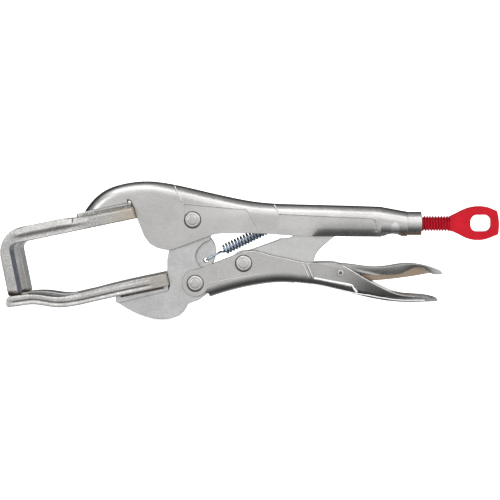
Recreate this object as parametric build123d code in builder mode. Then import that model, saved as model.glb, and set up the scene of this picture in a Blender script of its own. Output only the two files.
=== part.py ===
from build123d import *
import math
import os

# Locking welding clamp with two forked jaws.
# Millimetres. The origin is the centre of the main pivot pin.
# +X points along the adjusting screw to its head, Y runs along the pins, +Z is up.
# The parts are drawn closed and locked, with the upper feet on the lower prongs.

# ---- driving dimensions ----
BODY_HALF = 7.0  # half width of the pressed shell and of the lower handle
SHEET = 1.9  # sheet thickness of both channels
INNER_HALF = BODY_HALF - SHEET
RIDGE_RADIUS = 6.4  # rounding of the shell's top
LIP_HALF = 3.5  # half width of the rear opening between the rolled lips

MAIN_PIVOT = (0.0, 0.0)
HANDLE_PIVOT = (1.25, -31.85)
TOGGLE_PIVOT = (25.6, -21.7)
RELEASE_PIVOT = (74.0, -26.3)

PIN_RADIUS = 3.5
PIN_HEAD_RADIUS = 4.0
PIN_HEAD_HEIGHT = 0.8
RUNNING_GAP = 0.05  # radial clearance of a turning hole
SEAT_GAP = 0.02  # radial clearance of a riveted hole

SCREW_Z = -1.8
THREAD_RADIUS = 3.97  # 5/16 inch thread
THREAD_PITCH = 25.4 / 18
ROOT_RADIUS = 3.10
NUT_RADIUS = 4.25  # plain bore in place of the nut thread
TUBE_RADIUS = 5.95
TUBE_START = 107.2
TUBE_END = 114.25
NUT_START = 96.0
THREAD_START = 82.0
THREAD_END = 128.6
SCREW_TIP = 78.0

FORK_HALF = 14.25  # half of the fork's overall width
SLOT_HALF = 5.75  # half of the gap between two prongs
SLOT_END = -57.0
UPPER_RAIL_HALF = 6.3
LOWER_RAIL_HALF = 5.6
JAW_HALF = 5.0
LOBE_HALF = 3.0
LINK_HALF = 3.2

os.makedirs("parts", exist_ok=True)


# ---- helpers that return plain solids ----
def side_block(points, y_low, y_high):
    """Prism of a polygon in the XZ plane between two Y values."""
    with BuildPart() as block:
        with BuildSketch(Plane.XZ.offset(-y_high)):
            with BuildLine():
                Polyline(*points, close=True)
            make_face()
        extrude(amount=y_high - y_low)
    return block.part


def cross_rod(centre, radius, y_low, y_high):
    """Cylinder along Y."""
    with BuildPart() as rod:
        with BuildSketch(Plane.XZ.offset(-y_high)):
            with Locations(centre):
                Circle(radius)
        extrude(amount=y_high - y_low)
    return rod.part


def edge_bar(curve_points, half_width, depth_z, radius):
    """Long bar whose one side follows a smooth curve, with that side's two edges rounded."""
    first = curve_points[0]
    last = curve_points[-1]
    with BuildPart() as bar:
        with BuildSketch(Plane.XZ):
            with BuildLine():
                Spline(*curve_points)
                Polyline(last, (last[0], depth_z), (first[0], depth_z), first)
            make_face()
        extrude(amount=half_width, both=True)
        curved = bar.faces().filter_by(GeomType.PLANE, reverse=True)
        rims = curved.edges().filter_by(GeomType.BSPLINE)
        fillet(rims, radius)
    return bar.part


def riveted_pin(centre, shaft_radius, head_radius, half_width, head_height):
    """Pin along Y with a low rounded head on both ends."""
    rounding = head_height * 0.7
    with BuildPart() as pin:
        with BuildSketch(Plane.XZ.offset(-half_width)):
            with Locations(centre):
                Circle(shaft_radius)
        extrude(amount=2 * half_width)
        with BuildSketch(Plane.XZ.offset(half_width)):
            with Locations(centre):
                Circle(head_radius)
        extrude(amount=head_height)
        with BuildSketch(Plane.XZ.offset(-half_width)):
            with Locations(centre):
                Circle(head_radius)
        extrude(amount=-head_height)
        tops = pin.faces().sort_by(Axis.Y)
        rims = tops[0].edges() + tops[-1].edges()
        fillet(rims, rounding)
    return pin.part


def panel_recess(points, hinge_a, hinge_b, depth, reach):
    """Two thin wedges, one per side, that sink a flat panel into the side walls.

    The wedge has no depth along the hinge line and the full depth at the given reach from it.
    """
    wedges = []
    for side in (-1, 1):
        y_near, y_far = sorted((side * BODY_HALF, side * (BODY_HALF + 3)))
        plate = side_block(points, y_near, y_far)
        origin = Vector(hinge_a[0], side * BODY_HALF, hinge_a[1])
        along = Vector(hinge_b[0] - hinge_a[0], 0, hinge_b[1] - hinge_a[1]).normalized()
        tilt = side * math.degrees(math.atan(depth / reach))
        wedges.append(plate.rotate(Axis(origin, along), tilt))
    return wedges


def slope_line(x, x_ref, z_ref, slope):
    return z_ref + slope * (x - x_ref)


# ---- shared lines of the upper jaw: beak edge, top and bottom of the fork plate ----
BEAK_SLOPE = 0.211
PLATE_TOP_SLOPE = 0.200
PLATE_BOTTOM_SLOPE = 0.208


def beak_z(x):
    return slope_line(x, -54.4, 4.1, BEAK_SLOPE)


def plate_top_z(x):
    return slope_line(x, -59.4, 0.85, PLATE_TOP_SLOPE)


def plate_bottom_z(x):
    return slope_line(x, -53.4, -4.4, PLATE_BOTTOM_SLOPE)


# ---- upper body: pressed shell with a swaged tube at the rear ----
TOP_CURVE = [
    (-68.0, -34.0),
    (-62.5, -13.0),
    (-55.9, 3.8),
    (-50.1, 11.1),
    (-43.9, 15.4),
    (-34.7, 18.3),
    (-23.4, 19.4),
    (-13.0, 18.3),
    (2.0, 15.1),
    (18.3, 11.4),
    (34.5, 8.7),
    (46.0, 8.0),
    (62.0, 7.6),
    (78.0, 7.2),
    (98.0, 6.5),
]
INNER_CURVE = [
    (-66.0, -34.0),
    (-60.5, -13.0),
    (-54.1, 3.0),
    (-48.6, 9.8),
    (-43.0, 13.7),
    (-34.2, 16.5),
    (-23.3, 17.5),
    (-13.3, 16.4),
    (1.6, 13.2),
    (17.9, 9.5),
    (34.2, 6.8),
    (46.0, 6.1),
    (62.0, 5.7),
    (78.0, 5.3),
    (98.0, 4.6),
]
SHELL_SPLIT = 94.0  # the channel ends here and the shoulder begins
SHELL_OUTLINE = [
    (-58.5, beak_z(-58.5)),
    (-33.0, beak_z(-33.0)),
    (-32.9, 10.4),
    (-31.0, 9.9),
    (-29.5, 6.5),
    (-28.0, 0.7),
    (-26.3, -3.6),
    (-24.5, -8.1),
    (-21.5, -12.1),
    (-17.5, -14.2),
    (-12.4, -15.3),
    (-9.4, -14.6),
    (9.8, -7.5),
    (14.8, -6.6),
    (26.8, -6.5),
    (38.8, -6.9),
    (50.8, -7.8),
    (61.8, -8.1),
    (SHELL_SPLIT, -8.3),
    (SHELL_SPLIT, 30.0),
    (-58.5, 30.0),
]
outer_bar = edge_bar(TOP_CURVE, BODY_HALF, -40.0, RIDGE_RADIUS)
inner_bar = edge_bar(INNER_CURVE, INNER_HALF, -40.0, RIDGE_RADIUS - SHEET)
shell_mask = side_block(SHELL_OUTLINE, -20.0, 20.0)
inner_mask = side_block([(-70.0, -40.0), (92.0, -40.0), (92.0, 30.0), (-70.0, 30.0)], -20.0, 20.0)

# tools that round the lower corners of the rear half into rolled lips
LIP_RADIUS = 6.0
LIP_BOTTOM = -8.3
LIP_CENTRE_Z = -4.2


def lip_corner(side, x_start, x_end, scale):
    """Removes the material outside the arc of one lip."""
    drop = LIP_CENTRE_Z - LIP_BOTTOM
    inner_y = BODY_HALF - LIP_RADIUS + math.sqrt(LIP_RADIUS**2 - drop**2)
    mid_angle = math.asin(drop / LIP_RADIUS) / 2
    mid = (
        BODY_HALF - LIP_RADIUS + LIP_RADIUS * math.cos(mid_angle),
        LIP_CENTRE_Z - LIP_RADIUS * math.sin(mid_angle),
    )

    def placed(y, z):
        return (side * (BODY_HALF + (y - BODY_HALF) * scale), LIP_BOTTOM + (z - LIP_BOTTOM) * scale)

    with BuildPart() as tool:
        with BuildSketch(Plane.YZ.offset(x_start)):
            with BuildLine():
                ThreePointArc(placed(BODY_HALF, LIP_CENTRE_Z), placed(*mid), placed(inner_y, LIP_BOTTOM))
                Polyline(
                    placed(inner_y, LIP_BOTTOM),
                    (placed(inner_y, LIP_BOTTOM)[0], LIP_BOTTOM - 2),
                    (side * (BODY_HALF + 2), LIP_BOTTOM - 2),
                    (side * (BODY_HALF + 2), placed(BODY_HALF, LIP_CENTRE_Z)[1]),
                    placed(BODY_HALF, LIP_CENTRE_Z),
                )
            make_face()
        extrude(amount=x_end - x_start)
    return tool.part


lip_tools = [
    lip_corner(side, x_start, SHELL_SPLIT, scale)
    for side in (-1, 1)
    for x_start, scale in ((60.0, 0.4), (61.0, 0.75), (62.2, 1.0))
]

with BuildPart() as channel_cavity:
    add(inner_bar)
    add(inner_mask, mode=Mode.INTERSECT)
# the rolled lips stay thick: the rear opening is narrower than the channel
rear_lip_keep = [
    side_block([(60.5, -9.5), (93.9, -9.5), (93.9, -5.6), (60.5, -5.6)], LIP_HALF, INNER_HALF + 0.5),
    side_block([(60.5, -9.5), (93.9, -9.5), (93.9, -5.6), (60.5, -5.6)], -INNER_HALF - 0.5, -LIP_HALF),
]

# pressed panels of the sides, deepest along their upper line
front_panel = panel_recess(
    [(-4.0, 8.0), (27.3, 5.1), (31.4, -2.2), (33.0, -6.5), (-4.0, -6.5)],
    (-4.0, -6.0),
    (40.0, -6.0),
    0.3,
    12.5,
)
rear_panel = panel_recess(
    [(43.3, 3.0), (88.9, 0.9), (90.9, 0.2), (92.6, -4.1), (43.3, -4.1)],
    (43.0, -4.1),
    (93.0, -4.1),
    0.3,
    6.0,
)

with BuildPart() as upper_body:
    add(outer_bar)
    add(shell_mask, mode=Mode.INTERSECT)
    # shoulder from the rounded channel down to the tube
    with BuildSketch(Plane.YZ.offset(SHELL_SPLIT)) as shoulder_start:
        with Locations((0, (6.65 - 8.3) / 2)):
            RectangleRounded(2 * BODY_HALF, 6.65 + 8.3, RIDGE_RADIUS)
    with BuildSketch(Plane.YZ.offset(TUBE_START)) as shoulder_end:
        with Locations((0, SCREW_Z - 0.2)):
            RectangleRounded(2 * TUBE_RADIUS + 0.6, 2 * TUBE_RADIUS + 0.6, TUBE_RADIUS)
    loft()
    with BuildSketch(Plane.YZ.offset(TUBE_START - 0.1)):
        with Locations((0, SCREW_Z)):
            Circle(TUBE_RADIUS)
    extrude(amount=TUBE_END - TUBE_START + 0.1)
    # crimp across the bottom of the shoulder
    crimp = side_block(
        [
            (94.2, -8.9),
            (97.6, -7.0),
            (99.6, -6.75),
            (102.3, -7.05),
            (105.2, -8.4),
            (105.2, -12.0),
            (94.2, -12.0),
        ],
        -20.0,
        20.0,
    )
    add(crimp, mode=Mode.SUBTRACT)
    for lip_tool in lip_tools:
        add(lip_tool, mode=Mode.SUBTRACT)
    add(channel_cavity.part - rear_lip_keep[0] - rear_lip_keep[1], mode=Mode.SUBTRACT)
    # room for the stop ring, then the bore of the threaded tube
    with BuildSketch(Plane.YZ.offset(90.0)):
        with Locations((0, SCREW_Z)):
            Circle(4.9)
    extrude(amount=NUT_START - 90.0, mode=Mode.SUBTRACT)
    with BuildSketch(Plane.YZ.offset(NUT_START - 1)):
        with Locations((0, SCREW_Z)):
            Circle(NUT_RADIUS)
    extrude(amount=TUBE_END - NUT_START + 2, mode=Mode.SUBTRACT)
    for wedge in front_panel + rear_panel:
        add(wedge, mode=Mode.SUBTRACT)
    # pin hole
    add(cross_rod(MAIN_PIVOT, PIN_RADIUS + SEAT_GAP, -20, 20), mode=Mode.SUBTRACT)
upper_body.part.label = "upper_body"
export_step(upper_body.part, "parts/upper_body.step")


# ---- upper rail: backing strip under the beak ----
RAIL_FRONT = -59.2
RAIL_REAR = -31.2
with BuildPart() as upper_rail:
    add(
        side_block(
            [
                (RAIL_FRONT, plate_top_z(RAIL_FRONT)),
                (RAIL_REAR, plate_top_z(RAIL_REAR)),
                (RAIL_REAR, beak_z(-33.0)),
                (-33.0, beak_z(-33.0)),
                (RAIL_FRONT + 0.9, beak_z(RAIL_FRONT + 0.9)),
                (RAIL_FRONT, beak_z(RAIL_FRONT) - 0.8),
            ],
            -UPPER_RAIL_HALF,
            UPPER_RAIL_HALF,
        )
    )
    nose_edges = upper_rail.edges().filter_by(Axis.Z).group_by(Axis.X)[0]
    fillet(nose_edges, 1.5)
upper_rail.part.label = "upper_rail"
export_step(upper_rail.part, "parts/upper_rail.step")


# ---- upper fork: flat plate with two prongs bent down into legs ----
LEG_RIGHT_TOP = (-91.8, plate_bottom_z(-91.8))
FOOT_RIGHT = (-86.9, -37.5)
FOOT_LEFT = (-92.25, -38.4)
OUTER_CORNER = (-98.5, -5.8)
OUTER_BEND = 13.5
INNER_BEND = 3.4
LEG_SPLIT = -88.0  # in front of this the legs carry only a small bevel
BEVEL_SPLIT = -59.4  # from the legs to here the prongs carry the wide bevel
PRONG_SWELL = (-65.5, 0.69)  # the prongs are a little thicker in front of the rail


def beveled(block, seeds, height, width, half):
    """Bevel the long outer edges of the faces nearest to the seed points, on both sides."""
    for side in (-1, 1):
        side_face = block.faces().filter_by(Axis.Y).sort_by(Axis.Y)[0 if side < 0 else -1]
        rims = ShapeList()
        for x, z in seeds:
            face = block.faces().filter_by(Axis.Y, reverse=True).sort_by_distance((x, 0, z))[0]
            rims += face.edges().filter_by(lambda edge: abs(edge.center().Y - side * half) < 0.01)
        chamfer(rims, height, width, reference=side_face)


def upper_fork_piece(x_low, x_high, bevel_height, bevel_width):
    """Stretch of the fork plate between two X values, with its upper outer edges bevelled."""
    with BuildPart() as plate:
        with BuildSketch(Plane.XZ):
            with BuildLine():
                Polyline(
                    (-28.2, plate_bottom_z(-28.2)),
                    LEG_RIGHT_TOP,
                    FOOT_RIGHT,
                    FOOT_LEFT,
                    OUTER_CORNER,
                    PRONG_SWELL,
                    (RAIL_FRONT - 0.2, plate_top_z(RAIL_FRONT - 0.2)),
                    (-29.8, plate_top_z(-29.8)),
                    close=True,
                )
            make_face()
        extrude(amount=FORK_HALF, both=True)
        cross_edges = plate.edges().filter_by(Axis.Y)
        fillet(cross_edges.sort_by_distance((OUTER_CORNER[0], 0, OUTER_CORNER[1]))[0], OUTER_BEND)
        cross_edges = plate.edges().filter_by(Axis.Y)
        fillet(cross_edges.sort_by_distance((LEG_RIGHT_TOP[0], 0, LEG_RIGHT_TOP[1]))[0], INNER_BEND)
        beveled(plate, UPPER_BEVEL_SEEDS, bevel_height, bevel_width, FORK_HALF)
        with BuildSketch(Plane.XZ.offset(-20)):
            with Locations(((x_low + x_high) / 2, -15)):
                Rectangle(x_high - x_low, 80)
        extrude(amount=40, mode=Mode.INTERSECT)
    return plate.part


def slot_tool(x_low, x_end, z_low, z_high):
    """Round-ended slot between two prongs, cut along Z."""
    with BuildPart() as slot:
        with BuildSketch(Plane.XY.offset(z_low)):
            with Locations(((x_low + x_end - SLOT_HALF) / 2, 0)):
                Rectangle(x_end - SLOT_HALF - x_low, 2 * SLOT_HALF)
            with Locations((x_end - SLOT_HALF, 0)):
                Circle(SLOT_HALF)
        extrude(amount=z_high - z_low)
    return slot.part


# one point on each top edge of the fork, to pick the edges that are bevelled
UPPER_BEVEL_SEEDS = [
    (-45.0, plate_top_z(-45.0)),
    (-62.5, 0.1),
    (-75.0, -1.2),
    (-94.6, -9.8),
    (-95.4, -24.0),
]
legs = upper_fork_piece(-112.0, LEG_SPLIT, 0.5, 0.5)
prongs = upper_fork_piece(LEG_SPLIT, BEVEL_SPLIT, 2.9, 1.7)
plate_rear = upper_fork_piece(BEVEL_SPLIT, 0.0, 1.2, 1.2)
foot_bevels = []
for side in (-1, 1):
    with BuildPart() as foot_tool:
        with BuildSketch(Plane.YZ.offset(-96.0)):
            with BuildLine():
                Polyline(
                    (side * (FORK_HALF - 1.2), -39.0),
                    (side * (FORK_HALF - 0.9), -38.0),
                    (side * (FORK_HALF + 0.2), -35.0),
                    (side * (FORK_HALF + 0.2), -39.0),
                    close=True,
                )
            make_face()
        extrude(amount=14)
    foot_bevels.append(foot_tool.part)

with BuildPart() as upper_fork:
    add(legs)
    add(prongs)
    add(plate_rear)
    add(slot_tool(-112.0, SLOT_END, -60.0, 20.0), mode=Mode.SUBTRACT)
    for foot_bevel in foot_bevels:
        add(foot_bevel, mode=Mode.SUBTRACT)
upper_fork.part.label = "upper_fork"
export_step(upper_fork.part, "parts/upper_fork.step")


# ---- fillet welds along both sides of each rail ----
def weld_bead(start, end, y, leg, up):
    """Triangular bead along a line in a plane of constant Y; up is +1 or -1."""
    along = Vector(end[0] - start[0], 0, end[1] - start[1])
    side = 1 if y > 0 else -1
    plane = Plane(origin=(start[0], y, start[1]), x_dir=(0, side, 0), z_dir=along.normalized())
    # local y of this plane, compared with the wanted direction
    flip = up if plane.y_dir.Z > 0 else -up
    with BuildPart() as bead:
        with BuildSketch(plane):
            with BuildLine():
                Polyline((0, 0), (leg, 0), (leg * 0.45, flip * leg * 0.45), (0, flip * leg), close=True)
            make_face()
        extrude(amount=along.length)
    return bead.part


WELD_LEG = 1.5
weld_start = (-55.5, plate_top_z(-55.5))
weld_end = (-32.5, plate_top_z(-32.5))
with BuildPart() as upper_weld_near:
    add(weld_bead(weld_start, weld_end, -UPPER_RAIL_HALF, WELD_LEG, 1))
upper_weld_near.part.label = "upper_weld_near"
export_step(upper_weld_near.part, "parts/upper_weld_near.step")

with BuildPart() as upper_weld_far:
    add(weld_bead(weld_start, weld_end, UPPER_RAIL_HALF, WELD_LEG, 1))
upper_weld_far.part.label = "upper_weld_far"
export_step(upper_weld_far.part, "parts/upper_weld_far.step")


# ---- main pivot pin ----
with BuildPart() as main_pivot_pin:
    add(riveted_pin(MAIN_PIVOT, PIN_RADIUS, PIN_HEAD_RADIUS, BODY_HALF, PIN_HEAD_HEIGHT))
main_pivot_pin.part.label = "main_pivot_pin"
export_step(main_pivot_pin.part, "parts/main_pivot_pin.step")


# ---- lower fork: S-bent plate with two prongs ----
FORK_TOP = [
    (-99.5, -39.9),
    (-92.4, -38.6),
    (-86.2, -37.6),
    (-81.1, -37.2),
    (-76.0, -37.5),
    (-70.9, -38.2),
    (-65.9, -38.4),
    (-62.8, -38.0),
    (-59.8, -37.3),
    (-53.2, -35.8),
    (-45.6, -33.8),
    (-35.5, -31.3),
    (-24.0, -28.8),
    (-13.4, -26.6),
]
FORK_BOTTOM = [
    (-99.5, -44.7),
    (-92.9, -43.8),
    (-87.2, -43.2),
    (-82.6, -42.5),
    (-79.6, -42.3),
    (-76.0, -42.6),
    (-72.0, -43.2),
    (-67.9, -43.7),
    (-64.9, -43.7),
    (-60.8, -43.2),
    (-56.8, -42.5),
    (-50.7, -41.1),
    (-44.7, -39.7),
    (-38.6, -38.3),
    (-25.0, -35.4),
    (-12.0, -32.7),
]
# front end with a small chamfer at its top and bottom
fork_front = side_block(
    [
        (-92.2, -20.0),
        (-92.4, -38.6),
        (-93.2, -39.5),
        (-93.4, -42.7),
        (-92.6, -43.7),
        (-92.6, -60.0),
        (0.0, -60.0),
        (0.0, -20.0),
    ],
    -20.0,
    20.0,
)

with BuildPart() as lower_fork:
    with BuildSketch(Plane.XZ):
        with BuildLine():
            Spline(*FORK_TOP)
            Polyline(FORK_TOP[-1], (-12.5, -30.4), FORK_BOTTOM[-1])
            Spline(*FORK_BOTTOM)
            Line(FORK_BOTTOM[0], FORK_TOP[0])
        make_face()
    extrude(amount=FORK_HALF, both=True)
    curved = lower_fork.faces().filter_by(GeomType.PLANE, reverse=True).sort_by(Axis.Z)[0]
    fillet(curved.edges().filter_by(GeomType.BSPLINE), 1.9)
    add(fork_front, mode=Mode.INTERSECT)
    add(slot_tool(-110.0, SLOT_END, -60.0, -20.0), mode=Mode.SUBTRACT)
lower_fork.part.label = "lower_fork"
export_step(lower_fork.part, "parts/lower_fork.step")


# ---- lower rail ----
RAIL_TOP_START = (-39.4, -38.55)
RAIL_TOP_END = (-12.7, -32.95)
BEAK_LINE_START = (-38.2, -42.15)
BEAK_LINE_END = (-12.5, -35.75)
with BuildPart() as lower_rail:
    add(
        side_block(
            [RAIL_TOP_START, RAIL_TOP_END, BEAK_LINE_END, BEAK_LINE_START, (-39.0, -41.9), (-39.4, -41.2)],
            -LOWER_RAIL_HALF,
            LOWER_RAIL_HALF,
        )
    )
lower_rail.part.label = "lower_rail"
export_step(lower_rail.part, "parts/lower_rail.step")

low_weld_start = (-37.0, RAIL_TOP_START[1] + 2.4 * (RAIL_TOP_END[1] - RAIL_TOP_START[1]) / 26.7)
low_weld_end = (-15.0, RAIL_TOP_START[1] + 24.4 * (RAIL_TOP_END[1] - RAIL_TOP_START[1]) / 26.7)
with BuildPart() as lower_weld_near:
    add(weld_bead(low_weld_start, low_weld_end, -LOWER_RAIL_HALF, WELD_LEG, -1))
lower_weld_near.part.label = "lower_weld_near"
export_step(lower_weld_near.part, "parts/lower_weld_near.step")

with BuildPart() as lower_weld_far:
    add(weld_bead(low_weld_start, low_weld_end, LOWER_RAIL_HALF, WELD_LEG, -1))
lower_weld_far.part.label = "lower_weld_far"
export_step(lower_weld_far.part, "parts/lower_weld_far.step")


# ---- lower jaw forging ----
SPRING_HOLE = (6.1, -20.5)
SPRING_HOLE_RADIUS = 1.2
with BuildPart() as lower_jaw:
    # thick forging: front edge, rail seat, beak, belly, and the boss round the handle pin
    with BuildSketch(Plane.XZ):
        with BuildLine():
            Polyline((-9.0, 0.0), (-12.3, -15.4), (-13.1, -20.0), (-13.2, -26.4), (-12.3, -30.4))
            Polyline((-12.3, -30.4), (-11.7, -33.0), BEAK_LINE_END, BEAK_LINE_START)
            Spline(
                BEAK_LINE_START,
                (-34.2, -44.7),
                (-28.1, -47.7),
                (-22.0, -49.6),
                (-15.0, -50.3),
                (-9.8, -49.4),
                (-6.3, -47.8),
                (-4.6, -45.6),
                (-3.6, -43.4),
            )
            Spline((-3.6, -43.4), (-1.4, -42.0), (2.0, -40.8), (5.0, -38.8))
            ThreePointArc((5.0, -38.8), (9.15, -31.85), (5.2, -25.0))
            Spline((5.2, -25.0), (2.0, -22.0), (0.95, -18.6), (2.3, -14.6), (4.9, -11.9), (8.3, -10.1))
            Polyline((8.3, -10.1), (9.0, 0.0))
            ThreePointArc((9.0, 0.0), (0.0, 9.0), (-9.0, 0.0))
        make_face()
    extrude(amount=JAW_HALF, both=True)
    # thinner lobe with the spring hole
    with BuildSketch(Plane.XZ):
        with BuildLine():
            Polyline((5.0, -11.0), (7.2, -8.6))
            Spline((7.2, -8.6), (9.9, -11.2), (11.1, -16.2), (10.0, -21.2), (6.5, -26.0))
            Polyline((6.5, -26.0), (1.0, -24.0), (1.0, -16.0), (5.0, -11.0))
        make_face()
    extrude(amount=LOBE_HALF, both=True)
    add(cross_rod(SPRING_HOLE, SPRING_HOLE_RADIUS, -20, 20), mode=Mode.SUBTRACT)
    add(cross_rod(MAIN_PIVOT, PIN_RADIUS + RUNNING_GAP, -20, 20), mode=Mode.SUBTRACT)
    add(cross_rod(HANDLE_PIVOT, PIN_RADIUS + RUNNING_GAP, -20, 20), mode=Mode.SUBTRACT)
lower_jaw.part.label = "lower_jaw"
export_step(lower_jaw.part, "parts/lower_jaw.step")


# ---- jaw and handle pin, toggle pin, release pin ----
with BuildPart() as jaw_handle_pin:
    add(riveted_pin(HANDLE_PIVOT, PIN_RADIUS, PIN_HEAD_RADIUS, BODY_HALF, PIN_HEAD_HEIGHT))
jaw_handle_pin.part.label = "jaw_handle_pin"
export_step(jaw_handle_pin.part, "parts/jaw_handle_pin.step")

with BuildPart() as toggle_pin:
    add(riveted_pin(TOGGLE_PIVOT, PIN_RADIUS, PIN_HEAD_RADIUS, BODY_HALF, PIN_HEAD_HEIGHT))
toggle_pin.part.label = "toggle_pin"
export_step(toggle_pin.part, "parts/toggle_pin.step")

RIVET_RADIUS = 1.3
RIVET_HEAD_RADIUS = 1.75
with BuildPart() as release_pin:
    add(riveted_pin(RELEASE_PIVOT, RIVET_RADIUS, RIVET_HEAD_RADIUS, BODY_HALF, 0.5))
    # hollow rivet: a dimple in both heads
    add(cross_rod(RELEASE_PIVOT, 0.8, BODY_HALF - 0.6, BODY_HALF + 2), mode=Mode.SUBTRACT)
    add(cross_rod(RELEASE_PIVOT, 0.8, -BODY_HALF - 2, -BODY_HALF + 0.6), mode=Mode.SUBTRACT)
release_pin.part.label = "release_pin"
export_step(release_pin.part, "parts/release_pin.step")


# ---- lower handle: pressed channel, open at the top ----
HANDLE_BOTTOM = [
    (-14.0, -50.0),
    (0.0, -42.2),
    (11.0, -38.2),
    (22.6, -34.8),
    (30.7, -33.1),
    (38.8, -31.9),
    (46.8, -31.6),
    (54.8, -32.2),
    (62.9, -33.1),
    (70.9, -34.8),
    (78.9, -36.8),
    (86.9, -38.7),
    (94.8, -40.2),
    (102.8, -41.1),
    (110.8, -41.2),
    (126.0, -40.7),
]
HANDLE_FLOOR = [
    (-14.0, -47.6),
    (0.6, -40.4),
    (11.5, -36.4),
    (23.0, -33.0),
    (31.0, -31.2),
    (38.9, -30.0),
    (46.8, -29.7),
    (54.7, -30.3),
    (62.6, -31.2),
    (70.5, -32.9),
    (78.5, -34.9),
    (86.5, -36.8),
    (94.5, -38.3),
    (102.6, -39.2),
    (110.7, -39.3),
    (126.0, -38.8),
]
HANDLE_TIP = 122.4
NOSE_RADIUS = 6.6
handle_bar = edge_bar(HANDLE_BOTTOM, BODY_HALF, 10.0, 5.4)
handle_room = edge_bar(HANDLE_FLOOR, INNER_HALF, 10.0, 5.4 - SHEET)

with BuildPart() as handle_mask:
    with BuildSketch(Plane.XZ):
        with BuildLine():
            Polyline((1.25, -25.25), (3.7, -24.6), (14.8, -20.25), (25.3, -16.15))
            Spline(
                (25.3, -16.15),
                (28.9, -15.4),
                (38.9, -17.5),
                (48.9, -19.6),
                (54.5, -20.9),
                (63.8, -21.2),
                (73.0, -21.7),
                (79.3, -24.6),
                (84.7, -28.0),
                (89.4, -30.6),
                (94.0, -33.0),
                (99.0, -35.3),
                (104.0, -36.8),
                (108.8, -37.3),
                (114.0, -37.6),
                (HANDLE_TIP, -39.3),
            )
            Polyline(
                (HANDLE_TIP, -39.3),
                (HANDLE_TIP, -46.0),
                (9.3, -46.0),
                (7.9, -37.1),
                (7.2, -36.8),
                (1.25, -31.85),
            )
            Line((1.25, -31.85), (1.25, -25.25))
        make_face()
        with Locations(HANDLE_PIVOT):
            Circle(NOSE_RADIUS)
    extrude(amount=20, both=True)

# flat panel from the release lever to the tip, deepest along its lower line, with a sloping ledge under it
lever_panel = panel_recess(
    [
        (57.4, -20.3),
        (60.75, -28.75),
        (79.3, -32.4),
        (82.3, -36.7),
        (84.0, -48.0),
        (130.0, -48.0),
        (130.0, -37.2),
    ],
    (125.0, -36.0),
    (50.0, -18.5),
    0.7,
    8.0,
)
panel_ledge = panel_recess(
    [(60.75, -28.75), (79.3, -32.4), (79.5, -33.6), (60.3, -29.9)],
    (60.3, -29.9),
    (79.5, -33.6),
    0.75,
    1.2,
)

with BuildPart() as lower_handle:
    add(handle_bar)
    # the ears round the jaw pin reach below the bent floor
    with BuildSketch(Plane.XZ):
        with Locations(HANDLE_PIVOT):
            Circle(NOSE_RADIUS)
    extrude(amount=BODY_HALF, both=True)
    add(handle_mask.part, mode=Mode.INTERSECT)
    add(handle_room, mode=Mode.SUBTRACT)
    add(cross_rod(HANDLE_PIVOT, 9.3, -INNER_HALF, INNER_HALF), mode=Mode.SUBTRACT)
    for wedge in lever_panel + panel_ledge:
        add(wedge, mode=Mode.SUBTRACT)
    add(cross_rod(HANDLE_PIVOT, PIN_RADIUS + SEAT_GAP, -20, 20), mode=Mode.SUBTRACT)
    add(cross_rod(TOGGLE_PIVOT, PIN_RADIUS + SEAT_GAP, -20, 20), mode=Mode.SUBTRACT)
    add(cross_rod(RELEASE_PIVOT, RIVET_RADIUS + SEAT_GAP, -20, 20), mode=Mode.SUBTRACT)
lower_handle.part.label = "lower_handle"
export_step(lower_handle.part, "parts/lower_handle.step")


# ---- toggle link and its two spacers ----
with BuildPart() as toggle_link:
    with BuildSketch(Plane.XZ):
        with BuildLine():
            Polyline((25.6, -15.6), (28.4, -15.2), (42.2, -10.2), (43.4, -9.5), (47.7, -9.3), (50.8, -8.0))
            Spline((50.8, -8.0), (58.0, -3.6), (66.0, -0.6), (72.8, 0.2))
            ThreePointArc((72.8, 0.2), (76.0, -3.0), (73.6, -6.1))
            Spline((73.6, -6.1), (71.3, -8.0), (66.3, -12.0), (63.1, -14.8), (61.3, -18.1), (60.6, -21.1))
            Polyline((60.6, -21.1), (59.4, -22.6), (44.0, -25.3), (30.0, -27.0))
            ThreePointArc((30.0, -27.0), (19.0, -24.4), (25.6, -15.6))
        make_face()
    extrude(amount=LINK_HALF, both=True)
    add(cross_rod(TOGGLE_PIVOT, PIN_RADIUS + RUNNING_GAP, -20, 20), mode=Mode.SUBTRACT)
toggle_link.part.label = "toggle_link"
export_step(toggle_link.part, "parts/toggle_link.step")

SPACER_RADIUS = 5.2
with BuildPart() as link_spacer_near:
    add(cross_rod(TOGGLE_PIVOT, SPACER_RADIUS, -INNER_HALF + 0.05, -LINK_HALF - 0.05))
    add(cross_rod(TOGGLE_PIVOT, PIN_RADIUS + RUNNING_GAP, -20, 20), mode=Mode.SUBTRACT)
link_spacer_near.part.label = "link_spacer_near"
export_step(link_spacer_near.part, "parts/link_spacer_near.step")

with BuildPart() as link_spacer_far:
    add(cross_rod(TOGGLE_PIVOT, SPACER_RADIUS, LINK_HALF + 0.05, INNER_HALF - 0.05))
    add(cross_rod(TOGGLE_PIVOT, PIN_RADIUS + RUNNING_GAP, -20, 20), mode=Mode.SUBTRACT)
link_spacer_far.part.label = "link_spacer_far"
export_step(link_spacer_far.part, "parts/link_spacer_far.step")


# ---- release lever: folded sheet with a long tail ----
LEVER_HALF = 4.9
LEVER_SHEET = 1.3
LEVER_TOP = [
    (62.6, -23.6),
    (68.0, -22.7),
    (74.3, -22.0),
    (78.8, -22.3),
    (84.0, -23.0),
    (90.7, -23.6),
    (96.7, -23.2),
    (102.6, -22.2),
    (108.5, -21.7),
    (113.5, -22.2),
    (118.4, -23.3),
    (124.4, -25.6),
]
LEVER_UNDER = [(x, z - LEVER_SHEET) for x, z in LEVER_TOP]


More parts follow.
